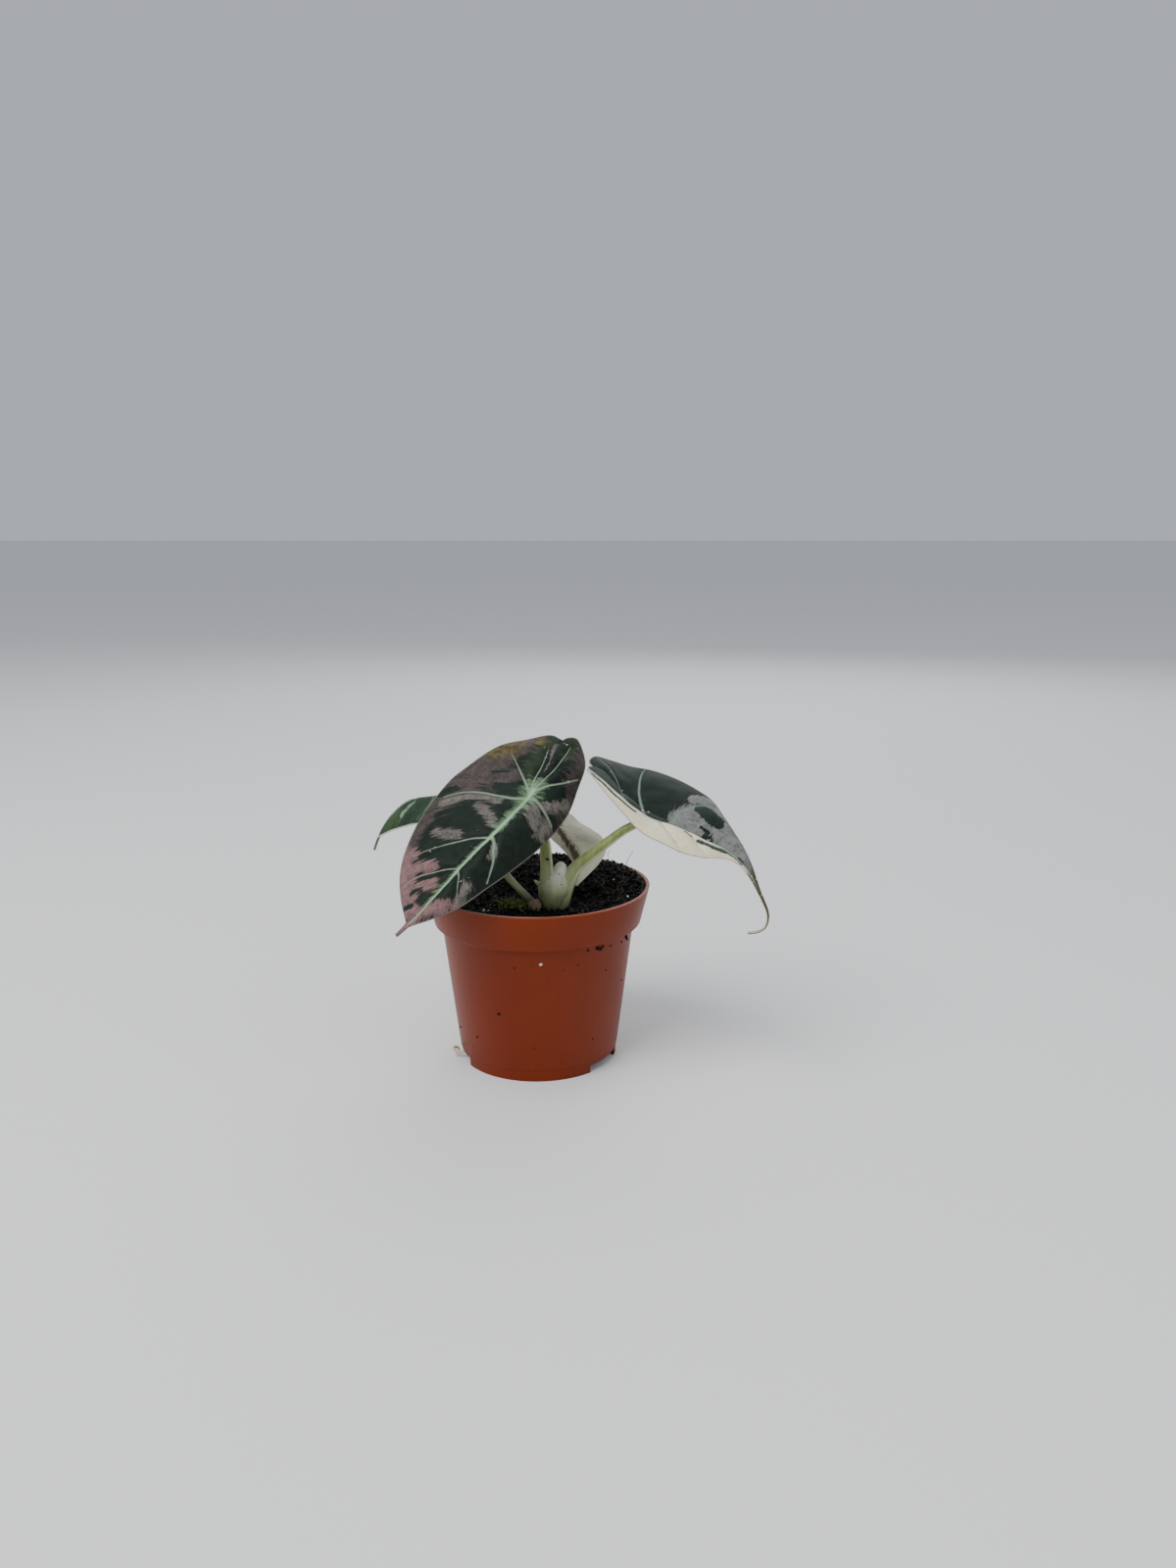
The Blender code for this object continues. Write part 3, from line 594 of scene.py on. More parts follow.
LEFT = dict(
    stations=(
        ((-19.5, 4, 80.5),) * 3, ((-22, 5, 81), (-18.5, 11, 76.5), (-17, -2, 78.5)),
        ((-24, 6, 81.5), (-20, 17, 72.5), (-17.5, -7, 76)),
        ((-27.5, 7.5, 82), (-24.5, 21, 70), (-21.5, -9, 73.5)),
        ((-31.5, 9, 81.5), (-30, 23, 71), (-26.5, -8, 73)),
        ((-35, 10, 81), (-35.5, 23.5, 71.5), (-31.5, -5, 74)),
        ((-39.5, 11.5, 80), (-40, 23, 72), (-36.5, -1, 74.5)),
        ((-43.5, 12.5, 77.5), (-44.5, 21, 72.5), (-42, 3, 72.5)),
        ((-47.5, 13, 74), (-47.5, 18.5, 71), (-46, 6.5, 70.5)),
        ((-50, 13.5, 70.5), (-50, 16, 69), (-50, 10, 68))),
    tip=(((-52, 13, 66.5), 0.9), ((-53.5, 13, 62.5), 0.4)), bow=(1.2, 1.2), junction=3, seat=2.2,
    rib=1.4)
BACK = dict(
    stations=(
        ((2, 15, 74),) * 3, ((3.5, 13.5, 73.5), (0, 16, 72.2), (6.5, 15, 74.6)),
        ((4.5, 12, 72.5), (-0.5, 19, 70), (10, 16.5, 73.6)),
        ((6, 10.5, 71.5), (1, 20, 67.5), (13, 16, 71)),
        ((8.5, 8.5, 69.5), (3.5, 18, 65), (17, 14, 69)),
        ((10.5, 6, 67.5), (6, 15, 63.5), (20, 11, 67.5)),
        ((12.5, 4, 65.5), (8.5, 11, 62), (21.5, 8, 65)),
        ((13.5, 1, 63), (10.5, 7, 60.5), (21, 4.5, 63)),
        ((13.5, -2, 61), (11.5, 2, 59.5), (18.5, 0.5, 60.5)),
        ((13, -5, 59), (12, -3, 58), (15.5, -3.5, 58.5))),
    tip=(((12.1, -7, 56.6), 0.5),), bow=(0.5, 0.5), junction=2, seat=2.4, rib=0.9)


def unit(v):
    return v / np.maximum(np.linalg.norm(v, axis=-1, keepdims=True), 1e-9)


FULL_BOW_WIDTH = 12   # mm from midrib to margin where a half is wide enough to bow in full


class LeafForm:
    """The leaf's top face in millimetres, as points for any (across, station)."""

    def __init__(self, leaf):
        mid, right, left = (np.array([s[k] for s in leaf["stations"]], float) for k in range(3))
        side = unit(right[-1] - left[-1])
        for point, half in leaf["tip"]:
            point = np.array(point, float)
            along = unit(point - mid[-1])
            side = unit(side - side.dot(along) * along)
            mid, right, left = (np.vstack([line, point + half * side * sign])
                                for line, sign in ((mid, 0), (right, 1), (left, -1)))
        self.mid, self.right, self.left = mid, right, left
        self.last, self.leaf = len(mid) - 1, leaf

    def normal(self, station):
        ahead = unit(through(self.mid, np.minimum(station + 0.33, self.last))
                     - through(self.mid, np.maximum(station - 0.33, 0)))
        wide = np.maximum(station, 0.67)
        return unit(np.cross(through(self.right, wide) - through(self.left, wide), ahead))

    def point(self, across, station):
        across, station = np.asarray(across, float), np.asarray(station, float)
        mid = through(self.mid, station)
        edge = np.where(across[:, None] > 0, through(self.right, station),
                        through(self.left, station))
        f = np.abs(across)[:, None]
        bow = np.where(across > 0, *self.leaf["bow"])[:, None]
        width = np.linalg.norm(edge - mid, axis=1, keepdims=True)
        full_bow = np.minimum(width / FULL_BOW_WIDTH, 1)
        return mid + (edge - mid) * f + self.normal(station) * bow * 4 * f * (1 - f) * full_bow

    def route(self, places, steps=12):
        """A line given by a few (across, station) places, as points on the leaf."""
        places = np.array([(a, s, 0) for a, s in places], float)
        if len(places) == 1:
            return self.point(places[:, 0], places[:, 1])
        line = through(places, np.linspace(0, len(places) - 1, (len(places) - 1) * steps + 1))
        return self.point(line[:, 0], line[:, 1])


front_form, right_form, left_form, back_form = map(LeafForm, (FRONT, RIGHT, LEFT, BACK))
length = np.linalg.norm(np.diff(front_form.mid, axis=0), axis=1).sum()
print("front leaf from notch to tip:", round(float(length), 1), "mm")

# %% [markdown]
# Veins and colour patches are what make this plant. They are drawn as lines and
# blobs in the leaf's own places, and the distance of every mesh point to them is
# stored as a field from 0 to 1. The material cuts those fields with noise, so the
# edges are crisp and uneven, and the same vein lines also press the veins into
# the blade, which puffs up between them.

# %% Helpers for veins and patches


def distance_to(points, line):
    """Distance in mm from each point to a line of points."""
    if len(line) == 1:
        return np.linalg.norm(points - line[0], axis=1), np.zeros(len(points))
    best, place = np.full(len(points), 1e9), np.zeros(len(points))
    for k, (a, b) in enumerate(zip(line, line[1:])):
        ab = b - a
        t = np.clip(((points - a) @ ab) / max(ab @ ab, 1e-12), 0, 1)
        d = np.linalg.norm(points - a - t[:, None] * ab, axis=1)
        closer = d < best
        best[closer], place[closer] = d[closer], ((k + t) / (len(line) - 1))[closer]
    return best, place


def vein_field(form, points, veins):
    """0 to 1: half at a vein's edge. A vein is (places, half-width at start, at end)."""
    value, nearest = np.zeros(len(points)), np.full(len(points), 1e9)
    for places, start, end in veins:
        d, along = distance_to(points, form.route(places))
        half_width = start + (end - start) * along
        value = np.maximum(value, np.clip(1 - 0.5 * d / half_width, 0, 1))
        nearest = np.minimum(nearest, d)
    return value, nearest


def both_sides(*veins):
    """Each vein, and its mirror on the other half of the leaf."""
    mirrored = tuple((tuple((-a, s) for a, s in places), *widths) for places, *widths in veins)
    return veins + mirrored


def blob_field(form, points, blobs):
    """0 to 1: half at a blob's edge. A blob is (places, radius)."""
    value = np.zeros(len(points))
    for places, radius in blobs:
        d, _ = distance_to(points, form.route(places))
        value = np.maximum(value, np.clip(1 - 0.5 * d / radius, 0, 1))
    return value


# %% [markdown]
# One helper lays the grid on a leaf form and gives it its puffed, veined relief.
# The Solidify modifier makes the blade, thin at the margin and thick along the
# midrib, and gives the underside its own paler skin.

# %% A helper that makes a blade
SIDE_SLOPE = 1.45   # stations that a side vein gains towards the tip on its way to the margin
PUFF_RUN, SINK_RUN = 2.6, 1.1   # mm from a vein over which the blade rises, and dips
RIPPLE, RIPPLES_PER_MM = 0.25, 0.22
CALM_WIDTH, CALM_CREST = 10, 2.5   # mm: narrow places and the leaf's crest stay smooth
INSIDE = 0.03   # mm that the skin lies under the solid's face
MARGIN_LINE, VEIN_FADE_WIDTH = 0.35, 1.6
THICK, MARGIN_THINNER, SIDE_RIB, SIDE_RIB_RUN, RIB_RUN = 0.66, 0.36, 0.3, 0.8, 1.2


def read_layer(mesh, name):
    values = np.zeros(len(mesh.vertices), np.float32)
    mesh.attributes[name].data.foreach_get("value", values)
    return values


def store_layer(mesh, name, values):
    layer = mesh.attributes.new(name, 'FLOAT', 'POINT')
    layer.data.foreach_set("value", values.astype(np.float32))


def blade(name, form, columns, rows, veins, fields, skins, node, puff, sink):
    bm = bmesh.new()
    bmesh.ops.create_grid(bm, x_segments=columns, y_segments=rows, size=1.0)
    across_of = bm.verts.layers.float.new("across")
    station_of = bm.verts.layers.float.new("station")
    grid = np.array([(v.co.x, (v.co.y + 1) / 2 * form.last) for v in bm.verts])
    uv = bm.loops.layers.uv.new("leaf")
    for face in bm.faces:
        for loop in face.loops:
            loop[uv].uv = (loop.vert.co.x / 2 + 0.5, loop.vert.co.y / 2 + 0.5)
    points = form.point(grid[:, 0], grid[:, 1])
    for v, p, (a, s) in zip(bm.verts, points, grid):
        v.co, v[across_of], v[station_of] = Vector(p) * MM, a, s
    bmesh.ops.remove_doubles(bm, verts=bm.verts, dist=0.004 * MM)
    mesh = mesh_from(name, bm)

    across, station = (read_layer(mesh, key).astype(float) for key in ("across", "station"))
    flat = np.zeros(len(mesh.vertices) * 3, np.float32)
    mesh.vertices.foreach_get("co", flat)
    points = flat.reshape(-1, 3).astype(float) / MM
    wide = through(form.right, station) - through(form.left, station)
    half = np.linalg.norm(wide, axis=1) / 2

    vein, nearest = vein_field(form, points, veins[:1])
    side_vein, side_nearest = vein_field(form, points, veins[1:])
    nearest = np.minimum(nearest, side_nearest)
    below_crest = points[:, 2].max() - points[:, 2]
    calm = (np.clip(half / CALM_WIDTH, 0, 1) * (1 - np.abs(across) ** 6)
            * np.clip(below_crest / CALM_CREST, 0, 1))
    ripple = np.array([noise.noise(Vector(p) * RIPPLES_PER_MM) for p in points])
    lift = calm * (puff * (1 - np.exp(-nearest / PUFF_RUN))
                   - sink * np.exp(-(nearest / SINK_RUN) ** 2) + RIPPLE * ripple)
    points = points + form.normal(station) * (lift - INSIDE)[:, None]
    mesh.vertices.foreach_set("co", (points * MM).astype(np.float32).ravel())

    edge_mm = (1 - np.abs(across)) * half
    broad = np.clip(half / VEIN_FADE_WIDTH, 0, 1)
    store_layer(mesh, "vein", vein * broad)
    store_layer(mesh, "side_vein", side_vein)
    store_layer(mesh, "margin", np.clip(1 - 0.5 * edge_mm / MARGIN_LINE, 0, 1) * broad)
    store_layer(mesh, "vein_run", station - SIDE_SLOPE * np.abs(across))
    for key, rule in fields.items():
        store_layer(mesh, key, rule(across, station, half) if callable(rule)
                    else blob_field(form, points, rule))

    mesh.shade_smooth()
    piece = placed(name, mesh)
    for skin in skins:
        mesh.materials.append(skin)
    past_junction = (station - form.leaf["junction"]) / form.last
    rib = form.leaf["rib"] * np.clip(1 - 0.75 * past_junction, 0.25, 1)
    side_rib = SIDE_RIB * np.exp(-(nearest / SIDE_RIB_RUN) ** 2) * np.clip(half / 8, 0, 1)
    thick = THICK - MARGIN_THINNER * np.abs(across) ** 8 + side_rib
    thick = np.maximum(thick, rib * np.exp(-(across * half / RIB_RUN) ** 2)
                       * np.clip(half / 6, 0, 1))
    group = piece.vertex_groups.new(name="thickness")
    most = float(thick.max())
    for k, value in enumerate(thick):
        group.add([k], float(value) / most, 'REPLACE')
    wall = piece.modifiers.new("blade", 'SOLIDIFY')
    wall.thickness, wall.offset, wall.vertex_group = most * MM, -1, group.name
    wall.material_offset, wall.material_offset_rim = 1, 0
    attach(piece, "root")
    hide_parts(node)
    print(name, len(mesh.polygons), "faces, widest", round(float(half.max() * 2), 1), "mm")
    return piece


# %% [markdown]
# The skin is velvet: a dark matt green that shines softly at a glancing angle, which
# is what the shader's sheen is for. On it lie mottled patches, with a faint net of
# very fine veins in the pale ones, then the veins and the thin pale line at the
# margin. The real patches end in feathered edges that run along the side veins, so
# the noise that cuts them is stretched that way. The underside is paler and
# greyer, with the same vein lines, and colour patches can go through the blade.

# %% Helpers for leaf skins
NETTED = ("mauve", "grey", "pink", "cream")
NET_SCALE, NET_LINE, NET_STRENGTH = 760, 0.12, 0.16
FEATHER_STRETCH = (3.0, 7.0, 1.0)


def leaf_skin(name, green, deep, patches, vein_tone, side_tone, margin_tone, sheen=0.05,
              feathering=1.9):
    """patches: (field, tone, second tone, low, high) laid one over the other."""
    skin = new_material(name, Roughness=0.6, Specular_IOR_Level=0.2, Sheen_Weight=sheen,
                        Sheen_Roughness=0.4, Sheen_Tint=tone(200, 214, 205))
    mottle = cloud(skin, 420, 5, rough=0.65)
    cells = add_node(skin, "TexVoronoi", {"Vector": place_on(skin), "Scale": NET_SCALE},
                     feature='DISTANCE_TO_EDGE').outputs["Distance"]
    net = patch(skin, cells, NET_LINE, 0.0, top=NET_STRENGTH)
    fleck = cloud(skin, 1500, 3, rough=0.6)
    ragged = cloud(skin, 420, 9, rough=0.74)
    run = add_node(skin, "CombineXYZ", {0: field(skin, "across"), 1: field(skin, "vein_run")})
    run = add_node(skin, "Mapping", {"Vector": run.outputs[0], "Scale": FEATHER_STRETCH})
    feather = add_node(skin, "TexNoise", {"Vector": run.outputs[0], "Scale": 1.0,
                                          "Detail": 8.0, "Roughness": 0.66}).outputs["Fac"]
    colour = mixed(skin, patch(skin, mottle, 0.35, 0.68, fleck, 0.3), deep, green)
    for key, first, second, low, high in patches:
        texture = mixed(skin, patch(skin, mottle, 0.36, 0.66, fleck, 0.5), first, second)
        if key in NETTED:
            texture = mixed(skin, net, texture, margin_tone)
        edge = patch(skin, field(skin, key), low, high, feather, feathering)
        colour = mixed(skin, edge, colour, texture)
    for key, line_tone, low, high, amount in (("side_vein", side_tone, 0.36, 0.85, 0.6),
                                              ("vein", vein_tone, 0.36, 0.72, 0.25),
                                              ("margin", margin_tone, 0.45, 0.8, 0.3)):
        line = patch(skin, field(skin, key), low, high, ragged, amount)
        colour = mixed(skin, line, colour, line_tone)
    paint(skin, "Base Color", colour)
    relief(skin, cloud(skin, 2600, 4, rough=0.6), 0.00012, 0.6)
    return skin


def leaf_underside(name, pale, dark, vein_tone, patches=()):
    """patches: (field, tone, low, high) of the colour patches that go through the blade."""
    skin = new_material(name, Roughness=0.6, Specular_IOR_Level=0.3, Sheen_Weight=0.1)
    colour = mixed(skin, cloud(skin, 300, 4), dark, pale)
    for key, flesh, low, high in patches:
        ragged = cloud(skin, 420, 8, rough=0.7)
        colour = mixed(skin, patch(skin, field(skin, key), low, high, ragged, 0.8), colour, flesh)
    for vein in ("side_vein", "vein"):
        colour = mixed(skin, patch(skin, field(skin, vein), 0.4, 0.7), colour, vein_tone)
    paint(skin, "Base Color", colour)
    relief(skin, cloud(skin, 1200, 4), 0.0002, 0.5)
    return skin


# %% [markdown]
# The front leaf shows its face: a pale hub where the stalk joins, a mint midrib,
# arched side veins, and grey, pink and olive patches on near-black green. Each
# vein and patch below stands where it is on the real leaf.

# %% Front leaf
MIDRIB = ((0, 3.5), *((0, s) for s in range(4, 13)))
FRONT_VEINS = (
    (MIDRIB, 0.75, 0.16),
    (((0, 3.9), (0.1, 3.55), (0.27, 3.27), (0.48, 3.05), (0.75, 2.85)), 0.5, 0.15),
    (((0, 3.8), (0.04, 3.5), (0.07, 3.07), (0.12, 2.33), (0.3, 1.5)), 0.4, 0.12),
    (((0, 3.8), (-0.04, 3.5), (-0.12, 3.27), (-0.32, 2.93), (-0.66, 1.93)), 0.4, 0.12),
    (((0, 3.85), (-0.1, 3.7), (-0.32, 3.8), (-0.62, 3.87), (-0.93, 3.7)), 0.6, 0.25),
    (((0, 3.95), (0.16, 4.27), (0.36, 4.47), (0.54, 4.67), (0.67, 4.87), (0.9, 5.35)), 0.6, 0.25),
    (((0, 4.0), (-0.1, 4.15), (-0.29, 4.47), (-0.53, 4.87), (-0.88, 5.4)), 0.7, 0.3),
    (((0, 6.05), (0.2, 6.33), (0.34, 6.6), (0.5, 6.8), (0.85, 7.25)), 0.42, 0.15),
    (((0, 6.0), (-0.2, 6.35), (-0.42, 6.8), (-0.62, 7.13), (-0.9, 7.8)), 0.62, 0.25),
    (((0, 7.7), (0.18, 7.75), (0.37, 7.9), (0.66, 8.15), (0.92, 8.55)), 0.28, 0.1),
    (((0, 7.8), (-0.2, 8.0), (-0.45, 8.4), (-0.84, 8.95)), 0.28, 0.1))
FRONT_FIELDS = {
    "mauve": (
        (((0.95, 5.3), (0.85, 4.6), (0.78, 4.0), (0.78, 3.3), (0.9, 2.5)), 7.0),
        (((0.5, 4.0), (0.4, 3.6)), 3.6), (((-0.92, 4.8), (-0.96, 4.2), (-0.96, 3.0)), 4.2),
        (((0.92, 7.3), (0.95, 6.6), (0.9, 6.0)), 2.6)),
    "grey": (
        (((0.84, 5.5), (0.6, 5.1), (0.42, 4.85), (0.25, 4.7)), 1.9),
        (((0.42, 5.15), (0.12, 5.45)), 1.9), (((0.64, 6.4), (0.39, 6.33)), 2.0),
        (((-0.42, 5.0), (-0.62, 5.3), (-0.8, 5.6)), 3.4), (((-0.55, 4.85), (-0.85, 4.7)), 2.4),
        (((-0.36, 6.6), (-0.5, 7.0)), 1.2), (((-0.75, 5.85),), 1.0),
        (((0.2, 0.8), (-0.07, 1.93), (-0.08, 2.67)), 0.7), (((-0.95, 8.9), (-0.67, 8.3)), 2.0)),
    "pink": (
        (((0.95, 7.3), (0.85, 8.0), (0.85, 8.8), (0.9, 9.6)), 3.6),
        (((0.7, 7.8), (0.45, 7.7)), 2.2), (((0.66, 9.1), (0.45, 8.6), (0.25, 8.5)), 2.2),
        (((0.5, 9.7), (0, 9.9), (-0.5, 9.6), (-0.7, 9.2)), 2.2), (((0, 10.4), (0, 12.6)), 2.0)),
    "hub": ((((0, 3.4), (0, 4.2)), 3.2), (((0, 3.3), (0, 5.6)), 1.5), (((0, 5.6), (0, 9.5)), 0.8)),
    "yellow": (
        (((0.9, 3.2), (0.8, 2.6)), 3.6), (((0.62, 2.9),), 2.0), (((0.85, 1.6), (0.6, 1.7)), 2.0)),
    "olive": (
        (((0.22, 3.13), (0.36, 2.13), (0.44, 1.33)), 2.6), (((-0.56, 2.4), (-0.78, 1.8)), 2.6)),
    "dark": (
        (((0.52, 8.2), (0.32, 8.07)), 1.1), (((0.65, 8.93), (0.44, 8.8)), 1.0),
        (((0.91, 9.5), (0.6, 9.45)), 0.9), (((-0.26, 8.87), (-0.36, 8.4)), 2.0),
        (((-0.28, 4.33), (-0.56, 4.4), (-0.71, 4.27)), 2.0), (((0.22, 3.85), (0.42, 4.15)), 1.5),
        (((0.85, 5.0), (0.95, 5.3)), 1.6), (((0.45, 3.5), (0.6, 3.75)), 1.0))}
FRONT_PATCHES = (
    ("olive", (38, 50, 28), (20, 32, 18), 0.4, 0.6),
    ("mauve", (72, 62, 60), (44, 38, 35), 0.34, 0.6),
    ("grey", (110, 104, 97), (66, 63, 58), 0.42, 0.68),
    ("pink", (134, 98, 99), (92, 74, 71), 0.42, 0.6),
    ("yellow", (100, 88, 46), (50, 44, 26), 0.36, 0.85),
    ("dark", (17, 34, 24), (8, 20, 13), 0.46, 0.54),
    ("hub", (118, 150, 112), (92, 124, 88), 0.3, 0.9))
front_skin = leaf_skin("front leaf velvet", (14, 32, 20), (4, 12, 7), FRONT_PATCHES,
                       (146, 176, 142), (128, 146, 122), (108, 106, 96))
pale_under = leaf_underside("leaf underside", (128, 142, 118), (104, 120, 98), (92, 80, 78))
blade("front_leaf", front_form, 150, 270, FRONT_VEINS, FRONT_FIELDS, (front_skin, pale_under),
      "blade_front", puff=0.85, sink=0.45)

# %% [markdown]
# The side-on leaf is split by its midrib: the half on the left is dark green with a
# grey window in it, and the other is cream, with a green strip near the tip and one
# near the base. The split is a rule on the leaf's own places, not a painted line.
# Its underside shows the same two halves, so the split goes through the blade.

# %% Right leaf
RIGHT_MIDRIB = ((1.0, 1.7), (0.78, 2.6), (0.64, 3.4), (0.55, 4.0), (0.42, 4.6), (0.2, 5.47),
                (0.1, 6.4), (0, 7.6), (-0.02, 8.9), (0, 10.3), (0, 12))
RIGHT_VEINS = (
    (RIGHT_MIDRIB, 0.7, 0.12),
    (((0.46, 4.5), (0.1, 3.9), (-0.17, 3.75), (-0.5, 4.0), (-0.82, 4.4), (-1, 4.7)), 0.6, 0.2),
    (((0.15, 5.5), (-0.16, 5.87), (-0.34, 6.33), (-0.59, 7.13), (-0.75, 7.87)), 0.55, 0.3),
    (((0.05, 8.0), (-0.3, 8.6), (-0.7, 9.4)), 0.2, 0.1),
    (((0.6, 3.6), (0.1, 2.6), (-0.5, 2.2), (-0.9, 1.9)), 0.25, 0.12),
    (((0.3, 5.2), (0.6, 5.9), (0.95, 6.8)), 0.2, 0.1),
    (((0.1, 6.4), (0.5, 7.2), (0.9, 8.0)), 0.2, 0.1))
RIGHT_SPLIT = (
    (1.7, 1.0), (3.0, 0.76), (4.0, 0.62), (4.6, 0.48), (5.47, 0.24), (6.4, 0.12), (7.67, 0.02),
    (16, 0.0))


def beyond_split(across, station, half):
    """0 to 1: half on the line that parts the dark half from the cream one."""
    beyond = across - np.interp(station, *zip(*RIGHT_SPLIT))
    return np.clip(0.5 + 0.5 * beyond * half / 0.6, 0, 1)


def brown_tip(across, station, half):
    return np.clip(station - 10.2, 0, 1)


RIGHT_FIELDS = {
    "cream": beyond_split,
    "strip": (
        (((0.4, 7.3), (0.43, 7.8), (0.4, 8.4), (0.26, 9.0), (0.12, 9.8)), 1.25),
        (((0.3, 6.5), (0.3, 6.75)), 0.8),
        (((0.97, 2.2), (0.88, 3.0), (0.8, 3.8), (0.7, 4.3)), 0.75)),
    "grey": (
        (
            ((-0.12, 6.45), (-0.36, 7.1), (-0.45, 7.6), (-0.5, 8.4), (-0.45, 9.3), (-0.4, 10.4)),
            5.6),
        (((-0.62, 6.8), (-0.78, 7.4), (-0.8, 8.0)), 2.2)),
    "dark": (
        (((-0.5, 7.25), (-0.44, 7.6), (-0.42, 7.95)), 2.7), (((-0.14, 7.1), (-0.12, 7.5)), 0.6),
        (((-1, 8.2), (-1, 9.2), (-1, 10)), 0.5)),
    "brown": brown_tip}
RIGHT_PATCHES = (
    ("grey", (118, 121, 117), (86, 90, 88), 0.42, 0.53),
    ("dark", (17, 36, 26), (9, 22, 15), 0.42, 0.5),
    ("cream", (236, 227, 194), (222, 212, 178), 0.46, 0.54),
    ("strip", (28, 46, 38), (46, 64, 54), 0.46, 0.56),
    ("brown", (90, 84, 56), (62, 62, 44), 0.4, 0.9))
right_skin = leaf_skin("right leaf velvet", (17, 36, 25), (8, 20, 14), RIGHT_PATCHES,
                       (150, 170, 156), (112, 132, 118), (186, 172, 160), 0.03, 0.8)
right_under = leaf_underside(
    "right leaf underside", (228, 220, 192), (208, 198, 170), (178, 170, 140),
    (("cream", (96, 114, 92), 0.54, 0.46), ("strip", (40, 60, 48), 0.46, 0.54)))
blade("right_leaf", right_form, 110, 330, RIGHT_VEINS, RIGHT_FIELDS, (right_skin, right_under),
      "blade_right", puff=0.5, sink=0.25)

# %% [markdown]
# The small left leaf is plain mid green with pale veins and a pale streak. It hangs
# like a hood, so both its sides are seen in turn.

# %% Left leaf
LEFT_VEINS = (
    (((0, 3.0), (0, 4.5), (0, 6), (0, 7.5), (0, 9), (0, 11)), 0.75, 0.25),
    (((0, 5.8), (-0.28, 6.2), (-0.6, 6.9), (-0.9, 7.5)), 0.35, 0.2),
    (((0, 5.8), (0.3, 6.2), (0.6, 6.9), (0.9, 7.5)), 0.35, 0.2),
    *both_sides((((0, 3.0), (0.3, 2.6), (0.6, 2.0), (0.85, 1.5)), 0.4, 0.2),
                (((0, 4.4), (0.3, 4.9), (0.62, 5.5), (0.9, 6.1)), 0.4, 0.2)))
LEFT_FIELDS = {
    "streak": ((((-0.28, 6.13), (-0.44, 6.53), (-0.61, 6.93)), 0.85),),
    "light": ((((-0.5, 7.4), (-0.6, 8.2)), 3.0), (((0.4, 4.2), (0.5, 5.0)), 3.0))}
LEFT_PATCHES = (("light", (54, 76, 44), (42, 62, 38), 0.3, 0.7),
                ("streak", (136, 152, 132), (104, 122, 102), 0.44, 0.56))
left_skin = leaf_skin("left leaf velvet", (40, 60, 42), (25, 42, 28), LEFT_PATCHES,
                      (134, 150, 124), (84, 104, 82), (172, 176, 156))
blade("left_leaf", left_form, 100, 170, LEFT_VEINS, LEFT_FIELDS, (left_skin, pale_under),
      "blade_left", puff=0.4, sink=0.25)

# %% [markdown]
# The back leaf is almost all cream, with an olive-brown band beside its midrib on
# one half, partly a darker sector of the leaf and partly painted shade where that half
# turns away from the light, and a faint green bloom.

# %% Back leaf
BACK_VEINS = (
    (((0, 2), (0, 4), (0, 6), (0, 8), (0, 10)), 0.6, 0.2),
    *both_sides((((0, 3.2), (0.4, 3.8), (0.9, 4.9)), 0.3, 0.15),
                (((0, 5), (0.4, 5.5), (0.9, 6.4)), 0.3, 0.15)))
# The band is partly a darker sector of the leaf and partly painted shade on the half that turns
# away.
BACK_FIELDS = {
    "band_and_shade": ((((0.14, 2.6), (0.22, 3.6), (0.3, 4.8), (0.42, 6.0), (0.45, 7.2)), 1.8),),
    "bloom": ((((-0.4, 4.2), (-0.55, 5.6)), 2.6),)}
# The band's olive-brown tones are partly painted shade.
BACK_PATCHES = (("bloom", (196, 196, 168), (204, 198, 178), 0.3, 0.8),
                ("band_and_shade", (96, 84, 58), (122, 106, 80), 0.42, 0.6))
back_skin = leaf_skin("back leaf velvet", (238, 230, 206), (224, 216, 190), BACK_PATCHES,
                      (214, 210, 186), (204, 200, 176), (226, 220, 206), 0.06)
cream_under = leaf_underside("cream leaf underside", (224, 216, 192), (204, 194, 170),
                             (178, 170, 140))
blade("back_leaf", back_form, 80, 150, BACK_VEINS, BACK_FIELDS, (back_skin, cream_under),
      "blade_back", puff=0.25, sink=0.12)

# %% [markdown]
# The stalks are smooth, pale yellow-green and a little ribbed, with a lighter edge
# where the sheath's margin runs up one side. The field that marks the sheath is
# made from the ring angle that the sweep stored. Like the crown they are paler at
# the foot, and olive where they meet the soil.

# %% Stalks
FRONT_STALK = (
    ((4.6, -12.9, 49.5), 2.6), ((4.1, -12.9, 53), 2.7), ((3.6, -12.9, 56.6), 2.5),
    ((3.3, -13, 60), 2.15), ((3.3, -13, 63.5), 1.95), ((3.1, -13, 67), 1.8),
    ((2.8, -12.4, 71), 1.7), ((1.5, -11.4, 76), 1.55), ((-0.6, -12.4, 80.6), 1.45))
RIGHT_STALK = (
    ((6.2, -12.6, 50), 2.8), ((7.4, -12.3, 54), 2.8), ((8.9, -12.0, 58), 2.5),
    ((10.6, -12, 61.6), 2.1), ((13, -12, 64.7), 1.7), ((17, -12.2, 68), 1.55),
    ((21.5, -12.8, 71.7), 1.45), ((26, -13.2, 75.2), 1.35), ((30, -13.6, 77.4), 1.25))
LEFT_STALK = (
    ((-0.6, -9.4, 48.5), 1.15), ((-2, -10, 52.5), 1.15), ((-5, -9.8, 55.8), 1.1),
    ((-9, -8.5, 60), 1.05), ((-14.5, -5, 66), 1.0), ((-21, 0, 71), 0.95),
    ((-25.5, 4.6, 74.5), 0.9), ((-27.3, 6.9, 77.4), 0.9))
BACK_STALK = (
    ((13.9, 10.6, 51.5), 1.0), ((13.7, 11.3, 55.5), 1.0), ((12.9, 12.8, 59.8), 0.95),
    ((11.3, 14.6, 64), 0.9), ((9.2, 15.6, 67.5), 0.85), ((7.4, 15.4, 69.8), 0.85))
SEAT_RUN = 2.2   # mm of stalk that runs straight up to the leaf
